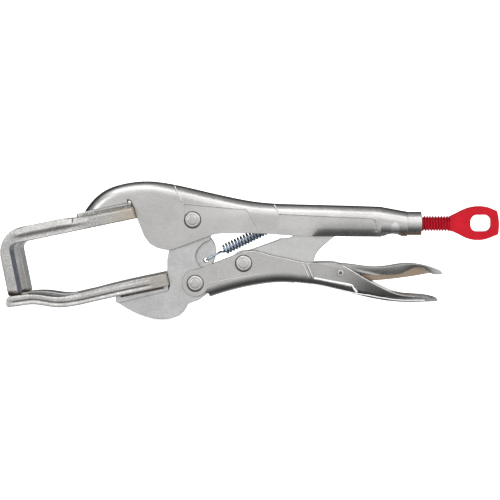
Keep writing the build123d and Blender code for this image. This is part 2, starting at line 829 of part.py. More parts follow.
def lever_flange(lower_points, y_low, y_high):
    """One side wall of the lever, from its top curve down to its own lower edge."""
    with BuildPart() as flange:
        with BuildSketch(Plane.XZ.offset(-y_high)):
            with BuildLine():
                Spline(*LEVER_TOP)
                Polyline(LEVER_TOP[-1], lower_points[-1])
                Spline(*lower_points)
                Line(lower_points[0], LEVER_TOP[0])
            make_face()
        extrude(amount=y_high - y_low)
    return flange.part


NEAR_EDGE = [
    (62.6, -26.8),
    (70.0, -29.2),
    (76.0, -29.4),
    (82.0, -27.6),
    (90.7, -27.5),
    (96.2, -27.5),
    (101.1, -27.2),
    (104.8, -26.5),
    (108.0, -25.0),
    (110.6, -23.9),
    (113.0, -23.6),
    (115.6, -24.1),
    (117.4, -25.1),
    (118.8, -26.3),
    (120.6, -26.9),
    (124.4, -26.8),
]
FAR_EDGE = [
    (62.6, -26.8),
    (70.0, -29.2),
    (77.0, -30.4),
    (89.2, -30.9),
    (101.8, -29.7),
    (113.9, -27.9),
    (119.4, -26.9),
    (124.4, -26.6),
]
near_flange = lever_flange(NEAR_EDGE, -LEVER_HALF, -LEVER_HALF + LEVER_SHEET)
far_flange = lever_flange(FAR_EDGE, LEVER_HALF - LEVER_SHEET, LEVER_HALF)
with BuildPart() as release_lever:
    with BuildSketch(Plane.XZ):
        with BuildLine():
            Spline(*LEVER_TOP)
            Line(LEVER_TOP[-1], LEVER_UNDER[-1])
            Spline(*LEVER_UNDER)
            Line(LEVER_UNDER[0], LEVER_TOP[0])
        make_face()
    extrude(amount=LEVER_HALF, both=True)
    add(near_flange)
    add(far_flange)
    add(cross_rod(RELEASE_PIVOT, RIVET_RADIUS + RUNNING_GAP, -20, 20), mode=Mode.SUBTRACT)
release_lever.part.label = "release_lever"
export_step(release_lever.part, "parts/release_lever.step")


# ---- adjusting screw: thread, neck for the stop ring, flattened eye head ----
HEAD_OUTLINE_TOP = [(128.2, 1.9), (130.8, 3.1), (133.3, 4.45), (136.2, 5.8), (139.6, 6.75), (143.3, 7.05)]
HEAD_OUTLINE_TOP += [(146.8, 6.6), (149.4, 5.6)]
HEAD_OUTLINE_BOTTOM = [(149.2, -8.4), (146.2, -9.5), (143.0, -10.0), (139.3, -9.75), (136.3, -8.85)]
HEAD_OUTLINE_BOTTOM += [(133.4, -7.4), (130.9, -6.2), (128.2, -5.3)]
HEAD_HALF = 2.2
EYE_CENTRE = (143.6, -1.45)
EYE_SIZE = (10.2, 8.2)

with BuildPart() as head_blank:
    with BuildSketch(Plane.XZ):
        with BuildLine():
            Spline(*HEAD_OUTLINE_TOP)
            Line(HEAD_OUTLINE_TOP[-1], (151.6, 4.7))
            ThreePointArc((151.6, 4.7), (152.7, -1.3), (152.3, -7.1))
            Line((152.3, -7.1), HEAD_OUTLINE_BOTTOM[0])
            Spline(*HEAD_OUTLINE_BOTTOM)
            Line(HEAD_OUTLINE_BOTTOM[-1], HEAD_OUTLINE_TOP[0])
        make_face()
    extrude(amount=5, both=True)
    # seen from above the round shank flattens into the blade
    with BuildSketch(Plane.XY.offset(-20)):
        with BuildLine():
            Spline((120.0, 3.4), (128.0, 3.4), (134.0, 2.6), (140.0, HEAD_HALF), (155.0, HEAD_HALF))
            Line((155.0, HEAD_HALF), (155.0, -HEAD_HALF))
            Spline((155.0, -HEAD_HALF), (140.0, -HEAD_HALF), (134.0, -2.6), (128.0, -3.4), (120.0, -3.4))
            Line((120.0, -3.4), (120.0, 3.4))
        make_face()
    extrude(amount=40, mode=Mode.INTERSECT)
    flat_sides = head_blank.faces().filter_by(lambda face: abs(face.center().Y) > 1.5)
    fillet(flat_sides.edges().filter_by(lambda edge: edge.center().X > 129.5), 0.8)
    with BuildSketch(Plane.XZ.offset(-10)):
        with Locations(EYE_CENTRE):
            RectangleRounded(EYE_SIZE[0], EYE_SIZE[1], 3.2)
    extrude(amount=20, mode=Mode.SUBTRACT)

with BuildPart() as thread_ridge:
    with BuildLine() as thread_path:
        Helix(
            pitch=THREAD_PITCH,
            height=THREAD_END - THREAD_START - 0.4,
            radius=ROOT_RADIUS,
            center=(THREAD_START, 0, SCREW_Z),
            direction=(1, 0, 0),
        )
    start = thread_path.line @ 0
    outward = Vector(0, start.Y, start.Z - SCREW_Z).normalized()
    with BuildSketch(Plane(origin=start, x_dir=outward, z_dir=thread_path.line % 0)):
        with BuildLine():
            Polyline((-0.12, -0.64), (0.87, -0.11), (0.87, 0.11), (-0.12, 0.64), close=True)
        make_face()
    sweep(path=thread_path.line, is_frenet=True)

with BuildPart() as adjusting_screw:
    with BuildSketch(Plane.YZ.offset(THREAD_START - 0.3)):
        with Locations((0, SCREW_Z)):
            Circle(ROOT_RADIUS)
    extrude(amount=THREAD_END - THREAD_START + 1.0)
    with BuildSketch(Plane.YZ.offset(SCREW_TIP)):
        with Locations((0, SCREW_Z)):
            Circle(2.9)
    extrude(amount=2.0)
    with BuildSketch(Plane.YZ.offset(SCREW_TIP)):
        with Locations((0, SCREW_Z)):
            Circle(2.3)
    extrude(amount=5.0)
    add(thread_ridge.part)
    add(head_blank.part)
adjusting_screw.part.label = "adjusting_screw"
export_step(adjusting_screw.part, "parts/adjusting_screw.step")

# ---- stop ring on the neck of the screw ----
with BuildPart() as screw_stop_ring:
    with BuildSketch(Plane.YZ.offset(SCREW_TIP + 2.06)):
        with Locations((0, SCREW_Z)):
            Circle(4.7)
            Circle(2.3 + RUNNING_GAP, mode=Mode.SUBTRACT)
    extrude(amount=1.2)
screw_stop_ring.part.label = "screw_stop_ring"
export_step(screw_stop_ring.part, "parts/screw_stop_ring.step")


# ---- return spring and its anchor tab ----
WIRE_RADIUS = 0.4
COIL_RADIUS = 2.0
COIL_PITCH = 1.65
COIL_TURNS = 15
COIL_START = Vector(14.9, 0, -15.4)
SPRING_ANGLE = 26.0
spring_axis = Vector(math.cos(math.radians(SPRING_ANGLE)), 0, math.sin(math.radians(SPRING_ANGLE)))
coil_end = COIL_START + spring_axis * (COIL_PITCH * COIL_TURNS)
ANCHOR_HOLE = Vector(45.2, 0, -0.9)


def wire_run(points):
    """Round wire along straight runs, with a ball at every corner and a fuller one at the coil."""
    with BuildPart() as wire:
        with Locations(points[0]):
            Sphere(WIRE_RADIUS * 1.15)
        for start, end in zip(points[:-1], points[1:]):
            run = end - start
            with BuildSketch(Plane(origin=start, z_dir=run.normalized())):
                Circle(WIRE_RADIUS)
            extrude(amount=run.length)
            with Locations(end):
                Sphere(WIRE_RADIUS)
    return wire.part


with BuildPart() as coil:
    with BuildLine() as coil_path:
        Helix(COIL_PITCH, COIL_PITCH * COIL_TURNS, COIL_RADIUS, center=COIL_START, direction=spring_axis)
    coil_front = coil_path.line @ 0
    coil_rear = coil_path.line @ 1
    with BuildSketch(Plane(origin=coil_front, z_dir=coil_path.line % 0)):
        Circle(WIRE_RADIUS)
    sweep(path=coil_path.line, is_frenet=True)

hook_x = SPRING_HOLE[0]
hook_z = SPRING_HOLE[1]
front_wire = wire_run(
    [
        coil_front,
        COIL_START - spring_axis * 0.9,
        Vector(13.6, -3.7, -16.2),
        Vector(8.6, -3.7, -19.2),
        Vector(hook_x + 0.5, -3.55, hook_z + 0.2),
        Vector(hook_x + 0.4, 3.5, hook_z + 0.2),
    ]
)
rear_wire = wire_run(
    [
        coil_rear,
        coil_end + spring_axis * 0.9,
        Vector(41.6, 0, -2.6),
        Vector(43.0, -1.75, -1.9),
        Vector(ANCHOR_HOLE.X, -1.75, ANCHOR_HOLE.Z),
        Vector(ANCHOR_HOLE.X, 1.75, ANCHOR_HOLE.Z),
    ]
)
with BuildPart() as return_spring:
    add(coil.part)
    add(front_wire)
    add(rear_wire)
return_spring.part.label = "return_spring"
export_step(return_spring.part, "parts/return_spring.step")

with BuildPart() as spring_anchor:
    add(side_block([(44.0, -2.6), (46.6, -2.6), (48.0, -1.6), (48.0, 6.1), (43.2, 6.3)], -1.1, 1.1))
    add(cross_rod((ANCHOR_HOLE.X, ANCHOR_HOLE.Z), WIRE_RADIUS + 0.3, -5, 5), mode=Mode.SUBTRACT)
spring_anchor.part.label = "spring_anchor"
export_step(spring_anchor.part, "parts/spring_anchor.step")
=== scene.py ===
import math

import bmesh
import bpy
import numpy as np
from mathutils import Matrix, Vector, noise
from mathutils.bvhtree import BVHTree


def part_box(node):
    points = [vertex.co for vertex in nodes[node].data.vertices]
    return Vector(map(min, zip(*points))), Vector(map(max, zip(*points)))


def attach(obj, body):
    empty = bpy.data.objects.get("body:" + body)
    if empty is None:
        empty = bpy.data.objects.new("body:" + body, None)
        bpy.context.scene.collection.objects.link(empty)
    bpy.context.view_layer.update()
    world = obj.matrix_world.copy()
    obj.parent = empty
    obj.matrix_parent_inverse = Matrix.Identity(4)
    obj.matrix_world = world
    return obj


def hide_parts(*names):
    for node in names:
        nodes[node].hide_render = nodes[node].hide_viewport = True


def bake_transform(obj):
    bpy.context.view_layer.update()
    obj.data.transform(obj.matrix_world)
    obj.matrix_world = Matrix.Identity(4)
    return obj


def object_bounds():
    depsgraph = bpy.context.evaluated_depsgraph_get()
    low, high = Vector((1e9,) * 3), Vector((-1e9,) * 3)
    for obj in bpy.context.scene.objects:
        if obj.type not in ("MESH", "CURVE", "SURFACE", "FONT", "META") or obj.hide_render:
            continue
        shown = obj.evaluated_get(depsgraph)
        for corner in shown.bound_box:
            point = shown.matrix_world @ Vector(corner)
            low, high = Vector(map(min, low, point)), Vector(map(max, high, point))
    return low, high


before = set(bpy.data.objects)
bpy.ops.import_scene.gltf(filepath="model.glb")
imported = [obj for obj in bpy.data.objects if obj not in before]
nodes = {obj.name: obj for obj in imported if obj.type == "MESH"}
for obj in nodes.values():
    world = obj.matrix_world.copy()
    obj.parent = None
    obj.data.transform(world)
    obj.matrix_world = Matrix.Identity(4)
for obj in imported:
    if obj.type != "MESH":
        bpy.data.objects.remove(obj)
cad_low, cad_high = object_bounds()

MM = 0.001
scene = bpy.context.scene


# ---------------------------------------------------------------- node helpers
class Graph:
    """A small wrapper that adds and wires shader nodes."""

    def __init__(self, tree):
        self.tree = tree
        tree.nodes.clear()

    def node(self, kind, **settings):
        made = self.tree.nodes.new(kind)
        for key, value in settings.items():
            setattr(made, key, value)
        return made

    def put(self, socket, value):
        """Wires an output to socket, or sets its value."""
        if isinstance(value, bpy.types.NodeSocket):
            self.tree.links.new(value, socket)
        else:
            socket.default_value = value

    def math(self, operation, a, b=0.0, c=0.0, clamp=False):
        made = self.node("ShaderNodeMath", operation=operation, use_clamp=clamp)
        self.put(made.inputs[0], a)
        self.put(made.inputs[1], b)
        self.put(made.inputs[2], c)
        return made.outputs[0]

    def step(self, value, low, high, out_low=0.0, out_high=1.0):
        """Smooth step of value from low to high."""
        made = self.node("ShaderNodeMapRange", interpolation_type="SMOOTHSTEP")
        self.put(made.inputs["Value"], value)
        made.inputs["From Min"].default_value = low
        made.inputs["From Max"].default_value = high
        made.inputs["To Min"].default_value = out_low
        made.inputs["To Max"].default_value = out_high
        return made.outputs["Result"]

    def mix(self, factor, a, b, blend="MIX"):
        made = self.node("ShaderNodeMix", data_type="RGBA", blend_type=blend)
        self.put(made.inputs["Factor"], factor)
        self.put(made.inputs["A"], a)
        self.put(made.inputs["B"], b)
        return made.outputs["Result"]

    def noise(self, vector, scale, detail=3.0, rough=0.55, stretch=None):
        if stretch is not None:
            vector = self.stretched(vector, stretch)
        made = self.node("ShaderNodeTexNoise")
        self.put(made.inputs["Vector"], vector)
        made.inputs["Scale"].default_value = scale
        made.inputs["Detail"].default_value = detail
        made.inputs["Roughness"].default_value = rough
        return made.outputs["Fac"]

    def stretched(self, vector, scale):
        made = self.node("ShaderNodeMapping")
        self.put(made.inputs["Vector"], vector)
        made.inputs["Scale"].default_value = scale
        return made.outputs["Vector"]

def grey(value, warm=0.0):
    """A grey with a little warmth, as linear colour."""
    return (value * (1 + warm), value, value * (1 - warm * 1.6), 1.0)


# dark colour for real pits and for painted shade in crevices
PIT_AND_CREVICE_SHADE_DARK = (0.05, 0.035, 0.025, 1.0)
RUBBED = (0.85, 0.83, 0.80, 1.0)
HEAT_TINT = (0.60, 0.49, 0.36, 1.0)
LOW_HEAT_TINT = (0.56, 0.47, 0.36, 1.0)
DARK_REFLECTION_BLUE = (0.055, 0.075, 0.12, 1.0)
SHADE = (0.30, 0.30, 0.29, 1.0)
FOOT_PAINTED_SHADE = (0.06, 0.035, 0.02, 1.0)
BARE_INSIDE = (0.42, 0.30, 0.20, 1.0)
BARE_UNDERSIDE = (0.50, 0.38, 0.25, 1.0)
CREVICE_REACH = 2.2 * MM
EDGE_ROUNDING = 0.35 * MM
BUMP_HEIGHT = 0.12 * MM


def steel(name, light, dark, patch=90.0, grain=(1.0, 1.0, 1.0), grain_scale=1400.0, grain_amount=0.25,
          rough=(0.22, 0.36), pits=0.0, pit_scale=700.0, bump=0.25, bump_scale=900.0, crevice_shade=0.45,
          pit_and_shade_colour=PIT_AND_CREVICE_SHADE_DARK, wear=0.35, metallic=1.0, zones=None):
    """Procedural metal: two tones in patches, directional grain, pits, painted shade in crevices and rubbed
    edges.
    """
    mat = bpy.data.materials.new(name)
    mat.use_nodes = True
    g = Graph(mat.node_tree)
    place = g.node("ShaderNodeTexCoord").outputs["Object"]
    patches = g.step(g.noise(place, patch, 4.0, 0.6), 0.36, 0.66)
    colour = g.mix(patches, dark, light)
    lines = g.noise(place, grain_scale, 3.0, 0.6, stretch=grain)
    shade = g.step(lines, 0.25, 0.75, 1.0 - grain_amount, 1.0 + grain_amount)
    tone = g.node("ShaderNodeCombineColor")
    for socket in tone.inputs[:3]:
        g.put(socket, shade)
    colour = g.mix(1.0, colour, tone.outputs["Color"], "MULTIPLY")
    if zones is not None:
        colour = zones(g, place, colour)
    speck = g.noise(place, pit_scale, 2.0, 0.7)
    pit_mask = g.step(speck, 0.66, 0.74)
    pit_mask = g.math("MULTIPLY", pit_mask, pits)
    colour = g.mix(pit_mask, colour, pit_and_shade_colour)
    # painted shade: ambient occlusion mixes the dark colour into crevices, corners and gaps between parts
    hollow = g.node("ShaderNodeAmbientOcclusion", samples=4, only_local=False)
    hollow.inputs["Distance"].default_value = CREVICE_REACH
    crevice = g.step(hollow.outputs["AO"], 0.25, 0.85, crevice_shade, 0.0)
    colour = g.mix(crevice, colour, pit_and_shade_colour)
    rounded = g.node("ShaderNodeBevel", samples=4)
    rounded.inputs["Radius"].default_value = EDGE_ROUNDING
    surface = g.node("ShaderNodeNewGeometry")
    facing = g.node("ShaderNodeVectorMath", operation="DOT_PRODUCT")
    g.put(facing.inputs[0], rounded.outputs["Normal"])
    g.put(facing.inputs[1], surface.outputs["Normal"])
    rubbed = g.step(facing.outputs["Value"], 0.80, 0.985, wear, 0.0)
    rubbed = g.math("MULTIPLY", rubbed, g.step(g.noise(place, 500.0, 3.0), 0.35, 0.6))
    colour = g.mix(rubbed, colour, RUBBED)
    shader = g.node("ShaderNodeBsdfPrincipled")
    g.put(shader.inputs["Base Color"], colour)
    shader.inputs["Metallic"].default_value = metallic
    gloss = g.noise(place, patch * 2.3, 4.0, 0.65)
    roughness = g.step(gloss, 0.3, 0.7, rough[0], rough[1])
    roughness = g.math("ADD", roughness, g.math("MULTIPLY", crevice, 0.3), clamp=True)
    roughness = g.math("ADD", roughness, g.math("MULTIPLY", pit_mask, 0.3), clamp=True)
    g.put(shader.inputs["Roughness"], roughness)
    fine = g.noise(place, bump_scale, 4.0, 0.6, stretch=grain)
    height = g.math("SUBTRACT", fine, g.math("MULTIPLY", pit_mask, 0.6))
    raised = g.node("ShaderNodeBump")
    raised.inputs["Strength"].default_value = bump
    raised.inputs["Distance"].default_value = BUMP_HEIGHT
    g.put(raised.inputs["Height"], height)
    g.put(raised.inputs["Normal"], rounded.outputs["Normal"])
    g.put(shader.inputs["Normal"], raised.outputs["Normal"])
    out = g.node("ShaderNodeOutputMaterial")
    g.put(out.inputs["Surface"], shader.outputs["BSDF"])
    return mat


def paint(names, mat):
    """Assigns mat to every slot of the named CAD nodes."""
    for name in names:
        thing = nodes[name]
        if not thing.material_slots:
            thing.data.materials.append(mat)
        for used in thing.material_slots:
            used.material = mat


# ---------------------------------------------------------------- materials
def low_fork_zones(g, place, colour):
    """Faint heat tint where the lower fork meets the jaw."""
    parts = g.node("ShaderNodeSeparateXYZ")
    g.put(parts.inputs[0], place)
    cloud = g.noise(place, 260.0, 4.0, 0.65)
    near_weld = g.step(parts.outputs["X"], -28.0 * MM, -16.0 * MM, 0.0, 0.60)
    tint = g.math("MULTIPLY", near_weld, g.step(cloud, 0.35, 0.65, 0.3, 1.0))
    return g.mix(tint, colour, LOW_HEAT_TINT)


def fork_zones(g, place, colour):
    """Heat tint beside the welds, with painted shade on upward faces and at the feet and a painted dark blue
    reflection on the near leg's inner face.
    """
    parts = g.node("ShaderNodeSeparateXYZ")
    g.put(parts.inputs[0], place)
    x, y, z = parts.outputs
    cloud = g.noise(place, 260.0, 4.0, 0.65)
    near_weld = g.step(x, -46.0 * MM, -33.0 * MM, 0.0, 0.75)
    tint = g.math("MULTIPLY", near_weld, g.step(cloud, 0.35, 0.65, 0.45, 1.0))
    colour = g.mix(tint, colour, HEAT_TINT)
    facing = g.node("ShaderNodeSeparateXYZ")
    g.put(facing.inputs[0], g.node("ShaderNodeNewGeometry").outputs["Normal"])
    # painted shade: faces that look upward are darkened
    upward_shade = g.step(facing.outputs[2], 0.25, 0.60, 0.0, 0.32)
    colour = g.mix(upward_shade, colour, SHADE)
    # painted reflection: the near leg's +X face is mixed towards a dark blue
    inner_reflection = g.step(facing.outputs[0], 0.55, 0.85)
    inner_reflection = g.math("MULTIPLY", inner_reflection, g.step(x, -78.0 * MM, -82.0 * MM))
    inner_reflection = g.math("MULTIPLY", inner_reflection, g.step(y, 0.0, -4.0 * MM, 0.38, 0.95))
    colour = g.mix(inner_reflection, colour, DARK_REFLECTION_BLUE)
    # painted shade: the feet darken towards their lower ends, where they meet the lower fork
    edge = g.math("MULTIPLY_ADD", cloud, 2.4 * MM, z)
    foot_shade = g.step(edge, -34.6 * MM, -36.0 * MM)
    foot_shade = g.math("MULTIPLY", foot_shade, g.step(z, -38.6 * MM, -38.3 * MM))
    foot_shade = g.math("MULTIPLY", foot_shade, 0.92)
    return g.mix(foot_shade, colour, FOOT_PAINTED_SHADE)


def lever_zones(g, place, colour):
    """The bare, brownish inside of the release lever's channel."""
    parts = g.node("ShaderNodeSeparateXYZ")
    g.put(parts.inputs[0], place)
    x, y, _ = parts.outputs
    facing = g.node("ShaderNodeSeparateXYZ")
    g.put(facing.inputs[0], g.node("ShaderNodeNewGeometry").outputs["Normal"])
    inside = g.math("MULTIPLY", g.step(y, -1.2 * MM, 0.2 * MM), g.step(facing.outputs[2], 0.5, 0.2))
    inside = g.math("MULTIPLY", inside, g.step(x, 121.0 * MM, 115.0 * MM))
    return g.mix(g.math("MULTIPLY", inside, 0.85), colour, BARE_INSIDE)


TUBE_START = 104.0  # X where the bare underside of the tube begins
HIGHLIGHT_PLACE = (101.0, -4.4)
HIGHLIGHT_HALF_LENGTH = 2.2
HIGHLIGHT_HALF_HEIGHT = 3.6
CRIMP_HIGHLIGHT = (1.0, 1.0, 1.0, 1.0)


def shell_zones(g, place, colour):
    """The swaged tube at the shell's rear end: a bare, brownish underside and a painted highlight on the
    crimp.
    """
    parts = g.node("ShaderNodeSeparateXYZ")
    g.put(parts.inputs[0], place)
    x, _, z = parts.outputs
    height = g.math("MULTIPLY_ADD", g.noise(place, 200.0, 3.0), 1.5 * MM, z)
    under = g.math("MULTIPLY", g.step(height, -4.6 * MM, -6.2 * MM), g.step(height, -14.0 * MM, -12.0 * MM))
    under = g.math("MULTIPLY", under, g.step(x, (TUBE_START - 1.0) * MM, (TUBE_START + 1.0) * MM))
    colour = g.mix(g.math("MULTIPLY", under, 0.8), colour, BARE_UNDERSIDE)
    # painted highlight: an oval on the crimp mixed to white
    across = g.math("DIVIDE", g.math("SUBTRACT", x, HIGHLIGHT_PLACE[0] * MM), HIGHLIGHT_HALF_LENGTH * MM)
    upright = g.math("DIVIDE", g.math("SUBTRACT", z, HIGHLIGHT_PLACE[1] * MM), HIGHLIGHT_HALF_HEIGHT * MM)
    reach = g.math("ADD", g.math("MULTIPLY", across, across), g.math("MULTIPLY", upright, upright))
    return g.mix(g.step(reach, 1.3, 0.5), colour, CRIMP_HIGHLIGHT)


plated = steel("plated_shell", grey(0.70, 0.010), grey(0.63, 0.012), patch=60.0, grain=(0.25, 1.0, 1.0),
               grain_scale=1600.0, grain_amount=0.055, rough=(0.20, 0.29), pits=0.12, bump=0.12, crevice_shade=0.6,
               zones=shell_zones)
forged = steel("forged_prong", grey(0.66, 0.012), grey(0.56, 0.015), patch=120.0, grain=(0.6, 1.0, 1.0),
               grain_scale=1900.0, grain_amount=0.30, rough=(0.28, 0.40), pits=0.5, pit_scale=1500.0,
               bump=0.9, bump_scale=1500.0, crevice_shade=0.65, wear=0.5, zones=fork_zones)
forged_low = steel("forged_lower_prong", grey(0.70, 0.012), grey(0.60, 0.015), patch=120.0,
                   grain=(0.6, 1.0, 1.0), grain_scale=1900.0, grain_amount=0.26, rough=(0.26, 0.38), pits=0.4,
                   pit_scale=1500.0, bump=0.8, bump_scale=1500.0, crevice_shade=0.55, wear=0.5, zones=low_fork_zones)
# painted highlight: a lighter steel for the bars that stand for bright crease and rim lines
highlight_steel = steel("painted_highlight_line", grey(0.95, 0.004), grey(0.90, 0.004), patch=200.0, grain_scale=1800.0,
                  grain_amount=0.05, rough=(0.20, 0.28), pits=0.05, bump=0.1, crevice_shade=0.2)
# milder painted highlight: a lighter steel for the handle's crease and bead and for the beak tack
mild_highlight_steel = steel("pressed_line", grey(0.84, 0.006), grey(0.76, 0.006), patch=200.0, grain_scale=1800.0,
                grain_amount=0.05, rough=(0.20, 0.28), pits=0.05, bump=0.1, crevice_shade=0.2)
# painted highlight: a near-white, half-metallic steel for the handle's step line and lower rim
white_painted_highlight = steel("white_painted_highlight", grey(0.98, 0.0), grey(0.95, 0.0), patch=200.0, grain_scale=1800.0,
                    grain_amount=0.04, rough=(0.24, 0.34), pits=0.03, bump=0.1, crevice_shade=0.1, metallic=0.25)
# painted shade: a dark steel for the shade line beside the handle's diagonal and for the link's top and rear
# edges
shade_line_steel = steel("painted_shade_line", grey(0.26, 0.02), grey(0.18, 0.02), patch=200.0, grain_scale=1800.0,
               grain_amount=0.2, rough=(0.3, 0.45), pits=0.2, bump=0.3)
lever_steel = steel("lever_channel", grey(0.70, 0.010), grey(0.63, 0.012), patch=60.0, grain=(0.25, 1.0, 1.0),
                    grain_scale=1600.0, grain_amount=0.05, rough=(0.20, 0.29), pits=0.10, bump=0.12, crevice_shade=0.6,
                    zones=lever_zones)
jaw_steel = steel("jaw_bar", grey(0.77, 0.0), grey(0.69, 0.004), patch=110.0, grain=(0.6, 1.0, 1.0),
                  grain_scale=1500.0, grain_amount=0.08, rough=(0.24, 0.36), pits=0.12, bump=0.25, crevice_shade=0.6)
weld = steel("weld_bead", grey(0.64, 0.03), grey(0.46, 0.06), patch=260.0, grain_scale=900.0,
             grain_amount=0.30, rough=(0.26, 0.42), pits=0.4, bump=0.7, bump_scale=700.0, crevice_shade=0.6)
pin = steel("pin_steel", grey(0.74, 0.012), grey(0.65, 0.015), patch=200.0, grain_scale=2000.0,
            grain_amount=0.08, rough=(0.20, 0.30), pits=0.12, bump=0.2, crevice_shade=0.75, wear=0.4,
            pit_and_shade_colour=(0.045, 0.028, 0.018, 1.0))
wire = steel("spring_wire", (0.66, 0.78, 0.90, 1.0), (0.36, 0.45, 0.56, 1.0), patch=300.0, grain_scale=2600.0,
             grain_amount=0.2, rough=(0.2, 0.34), pits=0.2, bump=0.2, crevice_shade=0.3)
link_steel = steel("link_plate", grey(0.78, 0.006), grey(0.72, 0.008), patch=110.0, grain=(1.0, 1.0, 0.4),
                   grain_scale=1500.0, grain_amount=0.05, rough=(0.24, 0.33), pits=0.08, bump=0.15, crevice_shade=0.6)
# painted shade: near-black steel for the rings round the rivet heads
rivet_shade = steel("rivet_painted_shade", (0.055, 0.035, 0.022, 1.0), (0.02, 0.014, 0.010, 1.0), patch=500.0,
             grain_scale=2500.0, grain_amount=0.3, rough=(0.5, 0.7), pits=0.3, bump=0.3, crevice_shade=0.3, wear=0.1,
             metallic=0.4)


RED_DARK = (0.43, 0.003, 0.012, 1.0)
RED_LIGHT = (0.51, 0.005, 0.018, 1.0)
RED_CREVICE_SHADE = (0.12, 0.004, 0.010, 1.0)
RED_FLECK = (0.75, 0.06, 0.08, 1.0)


def red_finish():
    """Satin red coating with painted shade in the thread's roots and fine lighter flecks."""
    mat = bpy.data.materials.new("red_coating")
    mat.use_nodes = True
    g = Graph(mat.node_tree)
    place = g.node("ShaderNodeTexCoord").outputs["Object"]
    cloud = g.step(g.noise(place, 180.0, 4.0, 0.6), 0.35, 0.65)
    colour = g.mix(cloud, RED_DARK, RED_LIGHT)
    # painted shade: ambient occlusion darkens the thread's roots
    hollow = g.node("ShaderNodeAmbientOcclusion", samples=4)
    hollow.inputs["Distance"].default_value = 1.2 * MM
    crevice = g.step(hollow.outputs["AO"], 0.3, 0.9, 0.7, 0.0)
    colour = g.mix(crevice, colour, RED_CREVICE_SHADE)
    fleck = g.step(g.noise(place, 1500.0, 2.0, 0.7), 0.66, 0.74, 0.0, 0.2)
    colour = g.mix(fleck, colour, RED_FLECK)
    shader = g.node("ShaderNodeBsdfPrincipled")
    g.put(shader.inputs["Base Color"], colour)
    shader.inputs["Metallic"].default_value = 0.0
    shader.inputs["Specular IOR Level"].default_value = 0.16
    g.put(shader.inputs["Roughness"], g.step(g.noise(place, 400.0, 4.0), 0.3, 0.7, 0.30, 0.46))
    shader.inputs["Coat Weight"].default_value = 0.05
    shader.inputs["Coat Roughness"].default_value = 0.2
    raised = g.node("ShaderNodeBump")
    raised.inputs["Strength"].default_value = 0.25
    raised.inputs["Distance"].default_value = 0.1 * MM
    g.put(raised.inputs["Height"], g.noise(place, 900.0, 4.0, 0.6))
    rounded = g.node("ShaderNodeBevel", samples=8)
    rounded.inputs["Radius"].default_value = 0.8 * MM
    g.put(raised.inputs["Normal"], rounded.outputs["Normal"])
    g.put(shader.inputs["Normal"], raised.outputs["Normal"])
    out = g.node("ShaderNodeOutputMaterial")
    g.put(out.inputs["Surface"], shader.outputs["BSDF"])
    return mat


red = red_finish()

paint(["upper_body", "lower_handle", "spring_anchor"], plated)
paint(["release_lever"], lever_steel)
paint(["upper_fork"], forged)
paint(["lower_fork"], forged_low)
paint(["lower_jaw", "upper_rail", "lower_rail"], jaw_steel)
paint(["upper_weld_near", "upper_weld_far", "lower_weld_near", "lower_weld_far"], weld)
paint(["main_pivot_pin", "jaw_handle_pin", "toggle_pin", "release_pin", "screw_stop_ring"], pin)
paint(["toggle_link", "link_spacer_near", "link_spacer_far"], link_steel)
paint(["return_spring"], wire)
paint(["adjusting_screw"], red)


# ---------------------------------------------------------------- new pieces in mesh code
def make_object(name, mesh, body, mats, stands_for=()):
    """Links a mesh, gives it its materials and lets it ride on a CAD body."""
    for mat in mats:
        mesh.materials.append(mat)
    thing = bpy.data.objects.new(name, mesh)
    scene.collection.objects.link(thing)
    if body is not None:
        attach(thing, body)
    if stands_for:
        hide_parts(*stands_for)
    return thing


def smooth_by_angle(mesh, degrees):
    """Smooth shading with edges kept sharp above an angle."""
    for face in mesh.polygons:
        face.use_smooth = True
    made = bmesh.new()
    made.from_mesh(mesh)
    limit = math.radians(degrees)
    for edge in made.edges:
        edge.smooth = len(edge.link_faces) == 2 and edge.calc_face_angle(0.0) < limit
    made.to_mesh(mesh)
    made.free()


def lathe_rings(made, profile, centre_x, centre_z, sides, material_index=0):
    """Revolves (y, radius) points round an axis along Y."""
    rings = []
    for y, radius in profile:
        if radius < 1e-7:
            rings.append([made.verts.new((centre_x, y, centre_z))])
            continue
        ring = []
        for k in range(sides):
            turn = 2 * math.pi * k / sides
            x = centre_x + radius * math.cos(turn)
            z = centre_z + radius * math.sin(turn)
            ring.append(made.verts.new((x, y, z)))
        rings.append(ring)
    for a, b in zip(rings[:-1], rings[1:]):
        for k in range(sides):
            n = (k + 1) % sides
            if len(a) == 1:
                face = made.faces.new((a[0], b[n], b[k]))
            elif len(b) == 1:
                face = made.faces.new((a[k], a[n], b[0]))
            else:
                face = made.faces.new((a[k], a[n], b[n], b[k]))
            face.material_index = material_index


HEAD_HEIGHT = 0.8 * MM  # how far a rivet's head stands out of the sheet
HEAD_LIP = 0.5 * MM  # how much wider than its shank a rivet's head is
SHOULDER = 1.0 * MM
DISC_SHARE = 0.64  # radius of the flat disc in a rivet's face, as a share of the head's
DISC_GROOVE = 0.10 * MM
DISH = 0.04 * MM  # how far the face outside the groove lies below the disc
# the dark ring is painted shade
SHADE_RING_REACH = 0.17 * MM  # size of the dark ring in the corner between head and sheet


